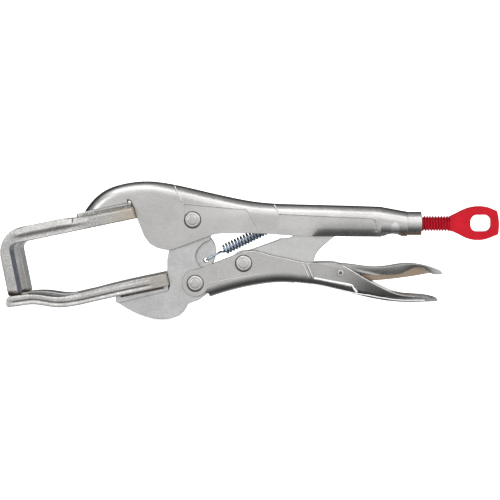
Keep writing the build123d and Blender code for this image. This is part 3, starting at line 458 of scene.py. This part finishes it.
def rivet(node, body):
    """A peened rivet: slightly domed faces, rounded shoulders and a ring of painted shade where it meets the
    shell.
    """
    corner_a, corner_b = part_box(node)
    x = (corner_a[0] + corner_b[0]) / 2
    z = (corner_a[2] + corner_b[2]) / 2
    head = (corner_b[0] - corner_a[0]) / 2
    reach = (corner_b[1] - corner_a[1]) / 2
    sheet = reach - HEAD_HEIGHT
    disc = DISC_SHARE * head
    half = [
        (reach, 0.0),
        (reach, disc * 0.6),
        (reach - 0.02 * MM, disc - 0.12 * MM),
        (reach - DISC_GROOVE, disc),
        (reach - DISC_GROOVE, disc + 0.08 * MM),
        (reach - DISH, disc + 0.22 * MM),
    ]
    for k in range(9):
        turn = math.radians(90.0 * k / 8)
        radius = head - SHOULDER * (1 - math.sin(turn))
        half.append((reach - DISH - (HEAD_HEIGHT - 0.06 * MM) * (1 - math.cos(turn)), radius))
    half.append((sheet + 0.01 * MM, head))
    half.append((sheet, head - HEAD_LIP))
    profile = [(-y, r) for y, r in half] + [(y, r) for y, r in reversed(half)]
    made = bmesh.new()
    lathe_rings(made, profile, x, z, 72)
    # ring of painted shade in the corner between head and sheet
    for side in (-1, 1):
        ring = []
        for k in range(9):
            turn = math.radians(180.0 * k / 8)
            height = sheet + 0.16 * MM * math.sin(turn)
            ring.append((side * height, head + SHADE_RING_REACH - SHADE_RING_REACH * math.cos(turn)))
        lathe_rings(made, ring, x, z, 72, 1)
    bmesh.ops.recalc_face_normals(made, faces=made.faces)
    mesh = bpy.data.meshes.new(node + "_rivet")
    made.to_mesh(mesh)
    made.free()
    smooth_by_angle(mesh, 40)
    make_object(node + "_rivet", mesh, body, [pin, rivet_shade], [node])


rivet("main_pivot_pin", "upper")
rivet("jaw_handle_pin", "handle")
rivet("toggle_pin", "handle")


def smooth_path(points, per_span):
    """Catmull-Rom curve through the points."""
    pts = [points[0] * 2 - points[1]] + list(points) + [points[-1] * 2 - points[-2]]
    out = []
    for k in range(1, len(pts) - 2):
        a, b, c, d = pts[k - 1], pts[k], pts[k + 1], pts[k + 2]
        for n in range(per_span):
            t = n / per_span
            out.append(0.5 * (2 * b + (c - a) * t + (2 * a - 5 * b + 4 * c - d) * t * t
                              + (3 * b - a - 3 * c + d) * t * t * t))
    out.append(points[-1].copy())
    return out


def tube_mesh(name, path, radius, sides):
    """Round wire along a path, with a frame carried along it and rounded ends."""
    made = bmesh.new()
    count = len(path)
    tangents = [(path[min(k + 1, count - 1)] - path[max(k - 1, 0)]).normalized() for k in range(count)]
    normal = tangents[0].orthogonal().normalized()
    rings = []
    for k in range(count):
        normal = (normal - tangents[k] * normal.dot(tangents[k])).normalized()
        across = tangents[k].cross(normal)
        ring = []
        for n in range(sides):
            turn = 2 * math.pi * n / sides
            outward = normal * math.cos(turn) + across * math.sin(turn)
            ring.append(made.verts.new(path[k] + outward * radius))
        rings.append(ring)
    for a, b in zip(rings[:-1], rings[1:]):
        for n in range(sides):
            m = (n + 1) % sides
            made.faces.new((a[n], a[m], b[m], b[n]))
    for ring, tip, back in ((rings[0], path[0] - tangents[0] * radius * 0.6, True),
                            (rings[-1], path[-1] + tangents[-1] * radius * 0.6, False)):
        point = made.verts.new(tip)
        for n in range(sides):
            m = (n + 1) % sides
            made.faces.new((ring[m], ring[n], point) if back else (ring[n], ring[m], point))
    bmesh.ops.recalc_face_normals(made, faces=made.faces)
    mesh = bpy.data.meshes.new(name)
    made.to_mesh(mesh)
    made.free()
    for face in mesh.polygons:
        face.use_smooth = True
    return mesh


COIL_START = (14.9, 0.0, -15.4)
COIL_TILT = math.radians(26.0)
COIL_TURNS = 15
COIL_PITCH = 1.65 * MM
COIL_RADIUS = 2.25 * MM
COIL_STEPS = 30  # path points per turn
COIL_TAPER = 18.0  # path points over which the coil's ends widen from the hooks to the full radius
COIL_END_SHARE = 0.45
WIRE_RADIUS = 0.56 * MM
FRONT_HOOK = [
    (6.9, 1.9, -20.2),
    (6.55, 0.0, -20.35),
    (6.7, -2.6, -20.2),
    (7.6, -3.6, -19.7),
    (9.2, -3.5, -18.8),
    (12.0, -2.2, -17.2),
    (13.6, -0.4, -16.3),
]
REAR_HOOK = [
    (40.2, 0.2, -3.2),
    (42.4, -1.2, -2.1),
    (44.2, -1.9, -1.2),
    (45.15, -1.3, -0.8),
    (45.2, 0.3, -0.9),
    (45.1, 1.6, -1.3),
]


def spring():
    """Close-wound extension spring between the jaw's ear and the tab inside the shell."""
    start = Vector(COIL_START) * MM
    axis = Vector((math.cos(COIL_TILT), 0.0, math.sin(COIL_TILT)))
    side = Vector((0.0, 1.0, 0.0))
    up = axis.cross(side)
    last = COIL_TURNS * COIL_STEPS
    coil = []
    for k in range(last + 1):
        turn = 2 * math.pi * k / COIL_STEPS
        rising = COIL_END_SHARE + (1 - COIL_END_SHARE) * k / COIL_TAPER
        falling = COIL_END_SHARE + (1 - COIL_END_SHARE) * (last - k) / COIL_TAPER
        spoke = side * math.sin(turn) - up * math.cos(turn)
        centre = start + axis * (COIL_PITCH * k / COIL_STEPS)
        coil.append(centre + spoke * COIL_RADIUS * min(1.0, rising, falling))
    front = [Vector(p) * MM for p in FRONT_HOOK]
    rear = [Vector(p) * MM for p in REAR_HOOK]
    path = smooth_path(front + [coil[2]], 6)[:-1] + coil[2:-2] + smooth_path([coil[-3]] + rear, 6)[1:]
    mesh = tube_mesh("return_spring_wire", path, WIRE_RADIUS, 12)
    thing = make_object("return_spring_wire", mesh, None, [wire], ["return_spring"])
    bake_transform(thing)


spring()


MERGE_DISTANCE = 0.002 * MM  # vertices of a CAD mesh that are nearer than this are joined


def ease(value, start, end):
    """Smooth step for numpy arrays; start may be above end."""
    t = np.clip((value - start) / (end - start), 0.0, 1.0)
    return t * t * (3 - 2 * t)


BEVEL_END = -59.4  # X where the upper prongs' wide bevel ends, beside the rail
BEVEL_HEIGHT = 2.9
BEVEL_WIDTH = 1.7
REAR_BEVEL = 1.2  # the narrow bevel behind BEVEL_END is as high as it is wide
PLATE_TOP = 0.85  # height of the upper fork's top at BEVEL_END
PLATE_SLOPE = 0.200
HOLLOW_DEPTH = 0.72
LINE_DEPTH = 0.45


def upper_groove(x, y, z):
    """Hollow below the wide bevel of the upper prongs, and the bevel's slow end beside the rail."""
    top = PLATE_TOP + PLATE_SLOPE * (x - BEVEL_END)
    below = top - 2.7 - z
    along = ease(x, -92.0, -84.0) * ease(x, -48.0, -62.0)
    hollow = HOLLOW_DEPTH * ease(below, -0.5, 1.9) * ease(below, 6.0, 2.0) * along
    wide = BEVEL_WIDTH * (1 - (top - z) / BEVEL_HEIGHT)
    narrow = np.clip(REAR_BEVEL - (top - z), 0.0, None)
    fading = np.clip(wide - narrow, 0.0, 1.1) * ease(x, -48.0, -58.6) * (x > BEVEL_END - 0.2)
    return (hollow + fading) * ease(abs(y), 11.9, 13.0)


def lower_groove(x, y, z):
    """Line along the lower third of the lower prongs, above their rounded bottom edge."""
    outer = abs(y) > 13.0
    bins = np.floor(x / 1.5).astype(int)
    bottom = {b: z[outer & (bins == b)].min() for b in np.unique(bins[outer])}
    rise = z - np.array([bottom.get(b, -99.0) for b in bins])
    line = ease(rise, 1.2, 1.9) * ease(rise, 3.1, 2.2)
    top_line = ease(rise, 4.4, 5.2) * 0.5
    along = ease(x, -93.0, -88.0) * ease(x, -18.0, -24.0)
    return LINE_DEPTH * (line + top_line) * ease(abs(y), 12.6, 13.6) * along


def bevel_ends(x, y, z):
    """Where the upper fork's wide bevel starts, at the top of the legs."""
    return -90.6 < x < -85.0 and abs(y) > 10.5 and z > -7.0


SMOOTH_ROUNDS = 24
RIPPLE_LENGTH = 1.3  # spacing of the ripples along a weld bead


def surface_depth(x, y, z, rough, ripple):
    """How far a weathered surface is sunk at a place (mm)."""
    wide = noise.noise((x * 0.22, y * 0.45, z * 0.45))
    mid = noise.noise((x * 0.55 + 9.1, y * 0.9, z * 0.9))
    fine = noise.noise((x * 1.6, y * 2.0 + 4.7, z * 2.0))
    depth = rough * (0.5 * wide + 0.33 * mid + 0.25 * fine + 0.4)
    if ripple:
        phase = 2 * math.pi * (x * 0.98 + z * 0.2) / RIPPLE_LENGTH + 1.5 * wide
        depth += ripple * (0.5 + 0.5 * math.cos(phase))
    return max(depth, 0.0)


def voxel_copy(node, voxel):
    """A watertight copy of a CAD node's mesh made of even voxels, which softens its edges."""
    mesh = nodes[node].data.copy()
    mesh.materials.clear()
    made = bmesh.new()
    made.from_mesh(mesh)
    bmesh.ops.remove_doubles(made, verts=made.verts, dist=MERGE_DISTANCE)
    made.to_mesh(mesh)
    made.free()
    thing = bpy.data.objects.new(node + "_voxels", mesh)
    scene.collection.objects.link(thing)
    remesh = thing.modifiers.new("remesh", "REMESH")
    remesh.mode = "VOXEL"
    remesh.voxel_size = voxel * MM
    remesh.use_smooth_shade = True
    graph = bpy.context.evaluated_depsgraph_get()
    solid = bpy.data.meshes.new_from_object(thing.evaluated_get(graph))
    bpy.data.objects.remove(thing)
    bpy.data.meshes.remove(mesh)
    return solid


def weathered(node, body, mat, slot, voxel, rough, ripple=0.0, groove=None, blend_out=None):
    """A copy of a CAD node with softened edges and an uneven surface, moved inward only."""
    solid = voxel_copy(node, voxel)
    solid.name = node + "_surface"
    if blend_out is not None:
        made = bmesh.new()
        made.from_mesh(solid)
        region = [vert for vert in made.verts if blend_out(*(vert.co / MM))]
        axes = {"use_axis_x": True, "use_axis_y": True, "use_axis_z": True}
        for _ in range(SMOOTH_ROUNDS):
            bmesh.ops.smooth_vert(made, verts=region, factor=0.5, **axes)
        made.to_mesh(solid)
        made.free()
    count = len(solid.vertices)
    places = np.zeros(count * 3)
    normals = np.zeros(count * 3)
    solid.vertices.foreach_get("co", places)
    solid.vertices.foreach_get("normal", normals)
    places = places.reshape(-1, 3)
    normals = normals.reshape(-1, 3)
    depth = np.array([surface_depth(*(place / MM), rough, ripple) for place in places])
    places -= normals * depth[:, None] * MM
    if groove is not None:
        x, y, z = (places / MM).T
        places[:, 1] -= np.sign(y) * groove(x, y, z) * MM
    solid.vertices.foreach_set("co", places.ravel())
    solid.update()
    solid.materials.clear()
    for face in solid.polygons:
        face.use_smooth = True
    make_object(node + "_surface", solid, body, [mat], [node])


fork_surface = {"slot": "forged_steel", "voxel": 0.30, "rough": 0.06}
weathered("upper_fork", "upper", forged, groove=upper_groove, blend_out=bevel_ends, **fork_surface)
weathered("lower_fork", "jaw", forged_low, groove=lower_groove, **fork_surface)
for bead, ridden in (("upper_weld", "upper"), ("lower_weld", "jaw")):
    for tag in ("_near", "_far"):
        weathered(bead + tag, ridden, weld, "weld_steel", voxel=0.12, rough=0.10, ripple=0.16)


SLICE_HEIGHT = 0.5  # spacing of the cuts that let a flat wall bend
SLICE_LENGTH = 2.0
SHARP_ANGLE = 30.0


def wall_heights(made, stations, side, wall, roof_z, floor_z):
    """The upper and lower end of a side wall at each station, in mm."""
    tops = []
    bottoms = []
    for station in stations:
        column = [
            vert.co[2] / MM
            for vert in made.verts
            if abs(vert.co[0] / MM - station) < 0.01 and side * vert.co[1] / MM > wall
        ]
        if column:
            roof_z = max(column)
            floor_z = min(column) - 1.2
        tops.append(roof_z)
        bottoms.append(floor_z)
    return tops, bottoms


def rolled(
    node,
    body,
    mat,
    start,
    full,
    end,
    amount,
    keep,
    power,
    sides=(-1, 1),
    span=None,
    wall=5.3,
    fade=3.0,
):
    """A copy of a CAD node whose side walls curve inward towards their lower edge.

    The curve grows from x = start to x = full and fades out over the length fade before x = end (all mm).
    keep is the half width that stays, amount the share of the rest that is taken away at the lower edge, and
    power the curve's steepness. span gives the heights between which a wall curves; without it they are
    measured where the half width is above wall.
    """
    mesh = nodes[node].data.copy()
    mesh.name = node + "_rolled"
    mesh.materials.clear()
    made = bmesh.new()
    made.from_mesh(mesh)
    bmesh.ops.remove_doubles(made, verts=made.verts, dist=MERGE_DISTANCE)
    heights = [vert.co[2] / MM for vert in made.verts if start < vert.co[0] / MM < end]
    roof_z, floor_z = span or (max(heights), min(heights))
    stations = np.arange(start, end + 0.01, SLICE_LENGTH)
    cuts = [((0, 0, level * MM), (0, 0, 1)) for level in np.arange(floor_z + 0.25, roof_z, SLICE_HEIGHT)]
    cuts += [((station * MM, 0, 0), (1, 0, 0)) for station in stations]
    for point, normal in cuts:
        whole = made.verts[:] + made.edges[:] + made.faces[:]
        bmesh.ops.bisect_plane(made, geom=whole, dist=1e-7, plane_co=point, plane_no=normal)
    if span is None:
        tops, bottoms = wall_heights(made, stations, sides[0], wall, roof_z, floor_z)
    else:
        tops = [roof_z] * len(stations)
        bottoms = [floor_z] * len(stations)
    for vert in made.verts:
        x, y, z = (value / MM for value in vert.co)
        side = 1 if y > 0 else -1
        if side not in sides or abs(y) < keep or x < start or x > end:
            continue
        roof = float(np.interp(x, stations, tops))
        base = float(np.interp(x, stations, bottoms))
        down = min(1.0, max(0.0, (roof - z) / max(roof - base, 0.5)))
        along = float(ease(np.float64(x), start, full) * ease(np.float64(x), end, end - fade))
        share = 1 - amount * down**power * along
        vert.co[1] = side * (keep + (abs(y) - keep) * share) * MM
    for face in made.faces:
        face.smooth = True
    for edge in made.edges:
        edge.smooth = len(edge.link_faces) == 2 and edge.calc_face_angle(0.0) < math.radians(SHARP_ANGLE)
    made.to_mesh(mesh)
    made.free()
    return make_object(node + "_rolled", mesh, body, [mat], [node])


shell = rolled(
    "upper_body",
    "upper",
    plated,
    start=56.5,
    full=68.0,
    end=94.5,
    amount=0.90,
    keep=3.6,
    power=2.2,
    span=(0.8, -9.4),
)
grip = rolled(
    "lower_handle",
    "handle",
    plated,
    start=66.0,
    full=92.0,
    end=130.0,
    amount=0.55,
    keep=0.3,
    power=1.3,
    fade=12.0,
)
rolled(
    "release_lever",
    "lever",
    lever_steel,
    start=74.0,
    full=84.0,
    end=124.0,
    amount=0.60,
    keep=1.0,
    power=1.4,
    sides=(-1,),
    wall=3.0,
    fade=10.0,
)


def surface_tree(part):
    """A search tree over a part's faces."""
    places = [vert.co for vert in part.data.vertices]
    return BVHTree.FromPolygons(places, [face.vertices for face in part.data.polygons])


def outer_y(tree, x, z, side, least=2.5):
    """The Y of a part's outer surface at (x, z) in mm, or None where its side wall has ended."""
    hit = tree.ray_cast(Vector((x, side * 30.0, z)) * MM, Vector((0, -side, 0)))[0]
    if hit is None or side * hit[1] < least * MM:
        return None
    return hit[1] / MM


def window(values, k, reach):
    """The values around place k of a list."""
    return values[max(0, k - reach):k + reach + 1]


def pressed_line(name, points, part, body, radius, proud, mat):
    """A raised line along the sheet: a thin round bar sunk in the surface, on both sides."""
    tree = surface_tree(part)
    route = smooth_path([Vector((x, 0, z)) for x, z in points], 8)
    for tag, side in (("near", -1), ("far", 1)):
        found = [(spot, outer_y(tree, spot[0], spot[2], side)) for spot in route]
        found = [(spot, side * y) for spot, y in found if y is not None]
        widths = [y for _, y in found]
        outermost = [max(window(widths, k, 3)) for k in range(len(widths))]
        path = []
        for k, (spot, _) in enumerate(found):
            few = window(outermost, k, 3)
            y = sum(few) / len(few)
            path.append(Vector((spot[0], side * (y - radius + proud), spot[2])) * MM)
        mesh = tube_mesh(name + "_" + tag, path, radius * MM, BAR_SIDES)
        make_object(name + "_" + tag, mesh, body, [mat])


def edge_line(name, spots, search, part, body, radius, proud, mat, least=2.5):
    """A round bar along an edge of a part's side walls, found by stepping from each spot until a wall is met.

    spots holds (x, z) places outside the part and search is the (x, z) step towards the part, in mm.
    """
    tree = surface_tree(part)
    for tag, side in (("near", -1), ("far", 1)):
        found = []
        for x, z in spots:
            for _ in range(MOST_STEPS):
                if outer_y(tree, x, z, side, least) is not None:
                    break
                x += search[0]
                z += search[1]
            ahead = radius / math.hypot(*search)
            x += search[0] * ahead
            z += search[1] * ahead
            y = outer_y(tree, x, z, side, least)
            if y is not None:
                found.append((x, y - side * (radius - proud), z))
        path = []
        for k in range(len(found)):
            few = window(found, k, 2)
            path.append(Vector([sum(spot[n] for spot in few) / len(few) for n in range(3)]) * MM)
        mesh = tube_mesh(name + "_" + tag, smooth_path(path, 4), radius * MM, BAR_SIDES)
        make_object(name + "_" + tag, mesh, body, [mat])


def shifted(points, dx, dz):
    """The points moved by (dx, dz)."""
    return [(x + dx, z + dz) for x, z in points]


BAR_SIDES = 12
MOST_STEPS = 400
SHELL_CREASE_FRONT = [(-9.6, 18.0), (-8.0, 14.6), (-5.3, 9.0)]
SHELL_CREASE_MID = [(40.9, 7.7), (42.3, 5.0), (43.5, 3.0)]
FRONT_PANEL = [(-3.7, 8.0), (8.0, 6.9), (20.0, 5.75), (26.6, 5.1), (28.4, 3.2), (31.4, -2.2)]
REAR_PANEL = [(43.5, 3.05), (60.0, 2.25), (75.0, 1.55), (87.0, 1.0), (90.4, 0.2), (93.2, -5.6)]
HANDLE_CREASE = [(13.0, -25.0), (13.0, -28.5), (13.0, -32.4)]
HANDLE_BEAD = [(7.7, -31.6), (16.0, -30.2), (25.0, -28.6), (33.9, -27.0)]
HANDLE_DIAGONAL = [(57.4, -22.4), (58.8, -25.5), (60.2, -28.6)]
HANDLE_DIAGONAL_SHADE = shifted(HANDLE_DIAGONAL, -0.5, 0.0)
HANDLE_DIAGONAL_FRONT = shifted(HANDLE_DIAGONAL, -2.0, 0.2)
HANDLE_STEP = [(60.8, -28.8), (70.0, -30.5), (79.0, -32.2), (80.4, -33.6), (82.3, -36.0)]

# the lighter bars below carry painted highlights, the darker ones painted shade
pressed_line("shell_crease_front", SHELL_CREASE_FRONT, shell, "upper", 0.34, 0.10, highlight_steel)
pressed_line("shell_crease_mid", SHELL_CREASE_MID, shell, "upper", 0.4, 0.14, highlight_steel)
pressed_line("front_panel_line", FRONT_PANEL, shell, "upper", 0.25, 0.05, plated)
pressed_line("rear_panel_line", REAR_PANEL, shell, "upper", 0.25, 0.06, plated)
pressed_line("handle_crease", HANDLE_CREASE, grip, "handle", 0.30, 0.05, mild_highlight_steel)
pressed_line("handle_bead", HANDLE_BEAD, grip, "handle", 0.34, 0.06, mild_highlight_steel)
pressed_line("handle_diagonal", HANDLE_DIAGONAL, grip, "handle", 0.3, 0.14, highlight_steel)
pressed_line("handle_diagonal_shade", HANDLE_DIAGONAL_SHADE, grip, "handle", 0.22, 0.05, shade_line_steel)
pressed_line("handle_diagonal_front", HANDLE_DIAGONAL_FRONT, grip, "handle", 0.3, 0.12, highlight_steel)
pressed_line("handle_step", HANDLE_STEP, grip, "handle", 0.44, 0.14, white_painted_highlight)

DOWN = (0.0, -0.1)
UP = (0.0, 0.1)
FORWARD = (-0.1, 0.0)
link = nodes["toggle_link"]
above_front = [(x, -1.0) for x in range(24, 61)]
above_tail = [(x, -1.0) for x in range(74, 120)]
below_handle = [(x, -45.0) for x in range(50, 118)]
above_link = [(x, 4.0) for x in range(27, 46)]
behind_link = [(75.0, z) for z in range(-10, -22, -1)]
# the rims carry painted highlights and the link's edges painted shade
edge_line("handle_rim_front", above_front, DOWN, grip, "handle", 0.30, 0.06, highlight_steel)
edge_line("handle_rim_tail", above_tail, DOWN, grip, "handle", 0.42, 0.10, highlight_steel)
edge_line("handle_rim_low", below_handle, UP, grip, "handle", 0.50, 0.06, white_painted_highlight)
edge_line("link_edge_top", above_link, DOWN, link, "link", 0.25, 0.02, shade_line_steel, least=1.0)
edge_line("link_edge_rear", behind_link, FORWARD, link, "link", 0.22, 0.02, shade_line_steel, least=1.0)


def tack(tag, side):
    """The uneven lump that closes the notch above the upper rail's rear end."""
    place = (-31.9, side * 6.1, 8.6)
    size = (1.3, 1.0, 1.5)
    name = "beak_tack_" + tag
    made = bmesh.new()
    bmesh.ops.create_icosphere(made, subdivisions=4, radius=1.0)
    for vert in made.verts:
        lumpy = 1.0 + 0.10 * noise.noise(vert.co * 1.7 + Vector((side, 0, 0)))
        vert.co = Vector([(vert.co[k] * lumpy * size[k] + place[k]) * MM for k in range(3)])
    mesh = bpy.data.meshes.new(name)
    made.to_mesh(mesh)
    made.free()
    for face in mesh.polygons:
        face.use_smooth = True
    # the tack's lighter steel is a mild painted highlight
    make_object(name, mesh, "upper", [mild_highlight_steel])


tack("near", -1)
tack("far", 1)


# ---------------------------------------------------------------- stage, light and camera
FLOOR_GAP = 0.5 * MM
FLOOR_FRONT = -1.6
FLOOR_REAR = 1.2  # where the floor starts to curve up
FLOOR_BEND = 0.6
FLOOR_HALF = 3.0
BACKDROP_TOP = 2.2
FLOOR_GLOW = 0.80


def floor_sheet():
    """A flat pale floor that curves up into a backdrop far behind the object."""
    mesh = bpy.data.meshes.new("floor")
    made = bmesh.new()
    floor_z = cad_low[2] - FLOOR_GAP
    profile = [(FLOOR_FRONT, floor_z), (FLOOR_REAR, floor_z)]
    for k in range(1, 13):
        turn = math.radians(90.0 * k / 12)
        y = FLOOR_REAR + FLOOR_BEND * math.sin(turn)
        profile.append((y, floor_z + FLOOR_BEND * (1 - math.cos(turn))))
    profile.append((FLOOR_REAR + FLOOR_BEND, floor_z + BACKDROP_TOP))
    rows = []
    for x in (-FLOOR_HALF, FLOOR_HALF):
        rows.append([made.verts.new((x, y, z)) for y, z in profile])
    for k in range(len(profile) - 1):
        made.faces.new((rows[0][k], rows[1][k], rows[1][k + 1], rows[0][k + 1]))
    made.to_mesh(mesh)
    made.free()
    for face in mesh.polygons:
        face.use_smooth = True
    sheet = bpy.data.objects.new("floor", mesh)
    scene.collection.objects.link(sheet)
    mat = bpy.data.materials.new("floor_pale")
    mat.use_nodes = True
    g = Graph(mat.node_tree)
    place = g.node("ShaderNodeTexCoord").outputs["Object"]
    tone = g.step(g.noise(place, 30.0, 3.0), 0.3, 0.7, 0.90, 0.93)
    mixed = g.node("ShaderNodeCombineColor")
    for socket in mixed.inputs[:3]:
        g.put(socket, tone)
    shader = g.node("ShaderNodeBsdfPrincipled")
    g.put(shader.inputs["Base Color"], mixed.outputs["Color"])
    shader.inputs["Roughness"].default_value = 0.9
    shader.inputs["Specular IOR Level"].default_value = 0.0
    shader.inputs["Emission Color"].default_value = (1, 1, 1, 1)
    shader.inputs["Emission Strength"].default_value = FLOOR_GLOW
    out = g.node("ShaderNodeOutputMaterial")
    g.put(out.inputs["Surface"], shader.outputs["BSDF"])
    mesh.materials.append(mat)
    sheet.visible_glossy = False


floor_sheet()


# the studio's brightness by height, from straight down (0) to straight up (1)
FRONT_RAMP = [
    (0.0, 0.06),
    (0.06, 0.10),
    (0.15, 0.22),
    (0.26, 0.44),
    (0.38, 0.66),
    (0.48, 0.76),
    (0.64, 0.76),
    (0.74, 0.86),
    (0.84, 1.15),
    (0.93, 1.40),
    (1.0, 1.25),
]
RIGHT_RAMP = [
    (0.0, 0.06),
    (0.06, 0.10),
    (0.15, 0.20),
    (0.26, 0.40),
    (0.38, 0.60),
    (0.47, 0.76),
    (0.56, 0.90),
    (0.70, 1.35),
    (0.79, 1.35),
    (0.85, 1.20),
    (0.90, 0.90),
    (0.95, 0.50),
    (1.0, 0.30),
]
BACK_RAMP = [
    (0.0, 0.03),
    (0.08, 0.25),
    (0.20, 0.60),
    (0.40, 0.75),
    (0.50, 0.66),
    (0.54, 0.55),
    (0.60, 0.02),
    (0.78, 0.03),
    (0.90, 0.09),
    (0.97, 0.24),
    (1.0, 0.40),
]


def brightness_ramp(g, where, table):
    """A grey colour ramp read at where."""
    ramp = g.node("ShaderNodeValToRGB")
    g.put(ramp.inputs["Fac"], where)
    bar = ramp.color_ramp
    while len(bar.elements) > 1:
        bar.elements.remove(bar.elements[-1])
    bar.elements[0].position = table[0][0]
    bar.elements[0].color = grey(table[0][1])
    for at, value in table[1:]:
        bar.elements.new(at).color = grey(value)
    return ramp.outputs["Color"]


def studio_world():
    """A soft studio around the object: bright overhead, light in front, dark low down and behind.

    The camera itself sees plain white.
    """
    world = bpy.data.worlds.new("studio")
    scene.world = world
    world.use_nodes = True
    g = Graph(world.node_tree)
    parts = g.node("ShaderNodeSeparateXYZ")
    g.put(parts.inputs[0], g.node("ShaderNodeTexCoord").outputs["Generated"])
    across, depth, height = parts.outputs
    where = g.math("MULTIPLY_ADD", height, 0.5, 0.5)
    front = brightness_ramp(g, where, FRONT_RAMP)
    right = brightness_ramp(g, where, RIGHT_RAMP)
    back = brightness_ramp(g, where, BACK_RAMP)
    facing = g.mix(g.step(across, -0.04, 0.05), front, right)
    around = g.mix(g.step(depth, -0.10, 0.16), facing, back)
    around = g.mix(g.step(across, -0.30, -0.85, 0.0, 0.70), around, grey(0.04))
    path = g.node("ShaderNodeLightPath")
    seen = g.node("ShaderNodeBackground")
    seen.inputs["Color"].default_value = (1, 1, 1, 1)
    seen.inputs["Strength"].default_value = 1.0
    lit = g.node("ShaderNodeBackground")
    g.put(lit.inputs["Color"], around)
    lit.inputs["Strength"].default_value = 1.0
    both = g.node("ShaderNodeMixShader")
    g.put(both.inputs["Fac"], path.outputs["Is Camera Ray"])
    g.put(both.inputs[1], lit.outputs["Background"])
    g.put(both.inputs[2], seen.outputs["Background"])
    out = g.node("ShaderNodeOutputWorld")
    g.put(out.inputs["Surface"], both.outputs["Shader"])


studio_world()


def soft_light(name, place, target, size, power):
    """A rectangular area light aimed at target."""
    data = bpy.data.lights.new(name, "AREA")
    data.shape = "RECTANGLE"
    data.size = size[0]
    data.size_y = size[1]
    data.energy = power
    lamp = bpy.data.objects.new(name, data)
    lamp.location = place
    lamp.rotation_euler = (Vector(target) - Vector(place)).to_track_quat("-Z", "Y").to_euler()
    scene.collection.objects.link(lamp)


centre = ((cad_low[0] + cad_high[0]) / 2, 0.0, (cad_low[2] + cad_high[2]) / 2)
soft_light("overhead", (centre[0] - 0.05, -0.42, 0.80), centre, (1.0, 0.35), 0.8)
soft_light("front_left", (centre[0] - 0.8, -0.85, 0.30), centre, (0.6, 0.7), 1.5)

CAMERA_PLACE = (62.98 * MM, -565.03 * MM, 17.29 * MM)
CAMERA_TARGET = (28.85 * MM, -7.0 * MM, -14.95 * MM)
LENS = 80.64
SENSOR_WIDTH = 36.0
lens = bpy.data.cameras.new("camera")
lens.lens = LENS
lens.sensor_width = SENSOR_WIDTH
lens.clip_start = 0.01
lens.clip_end = 20.0
camera = bpy.data.objects.new("camera", lens)
camera.location = CAMERA_PLACE
aim = Vector(CAMERA_TARGET) - Vector(CAMERA_PLACE)
camera.rotation_euler = aim.to_track_quat("-Z", "Y").to_euler()
scene.collection.objects.link(camera)
scene.camera = camera
scene.view_settings.view_transform = "Standard"
scene.view_settings.look = "None"
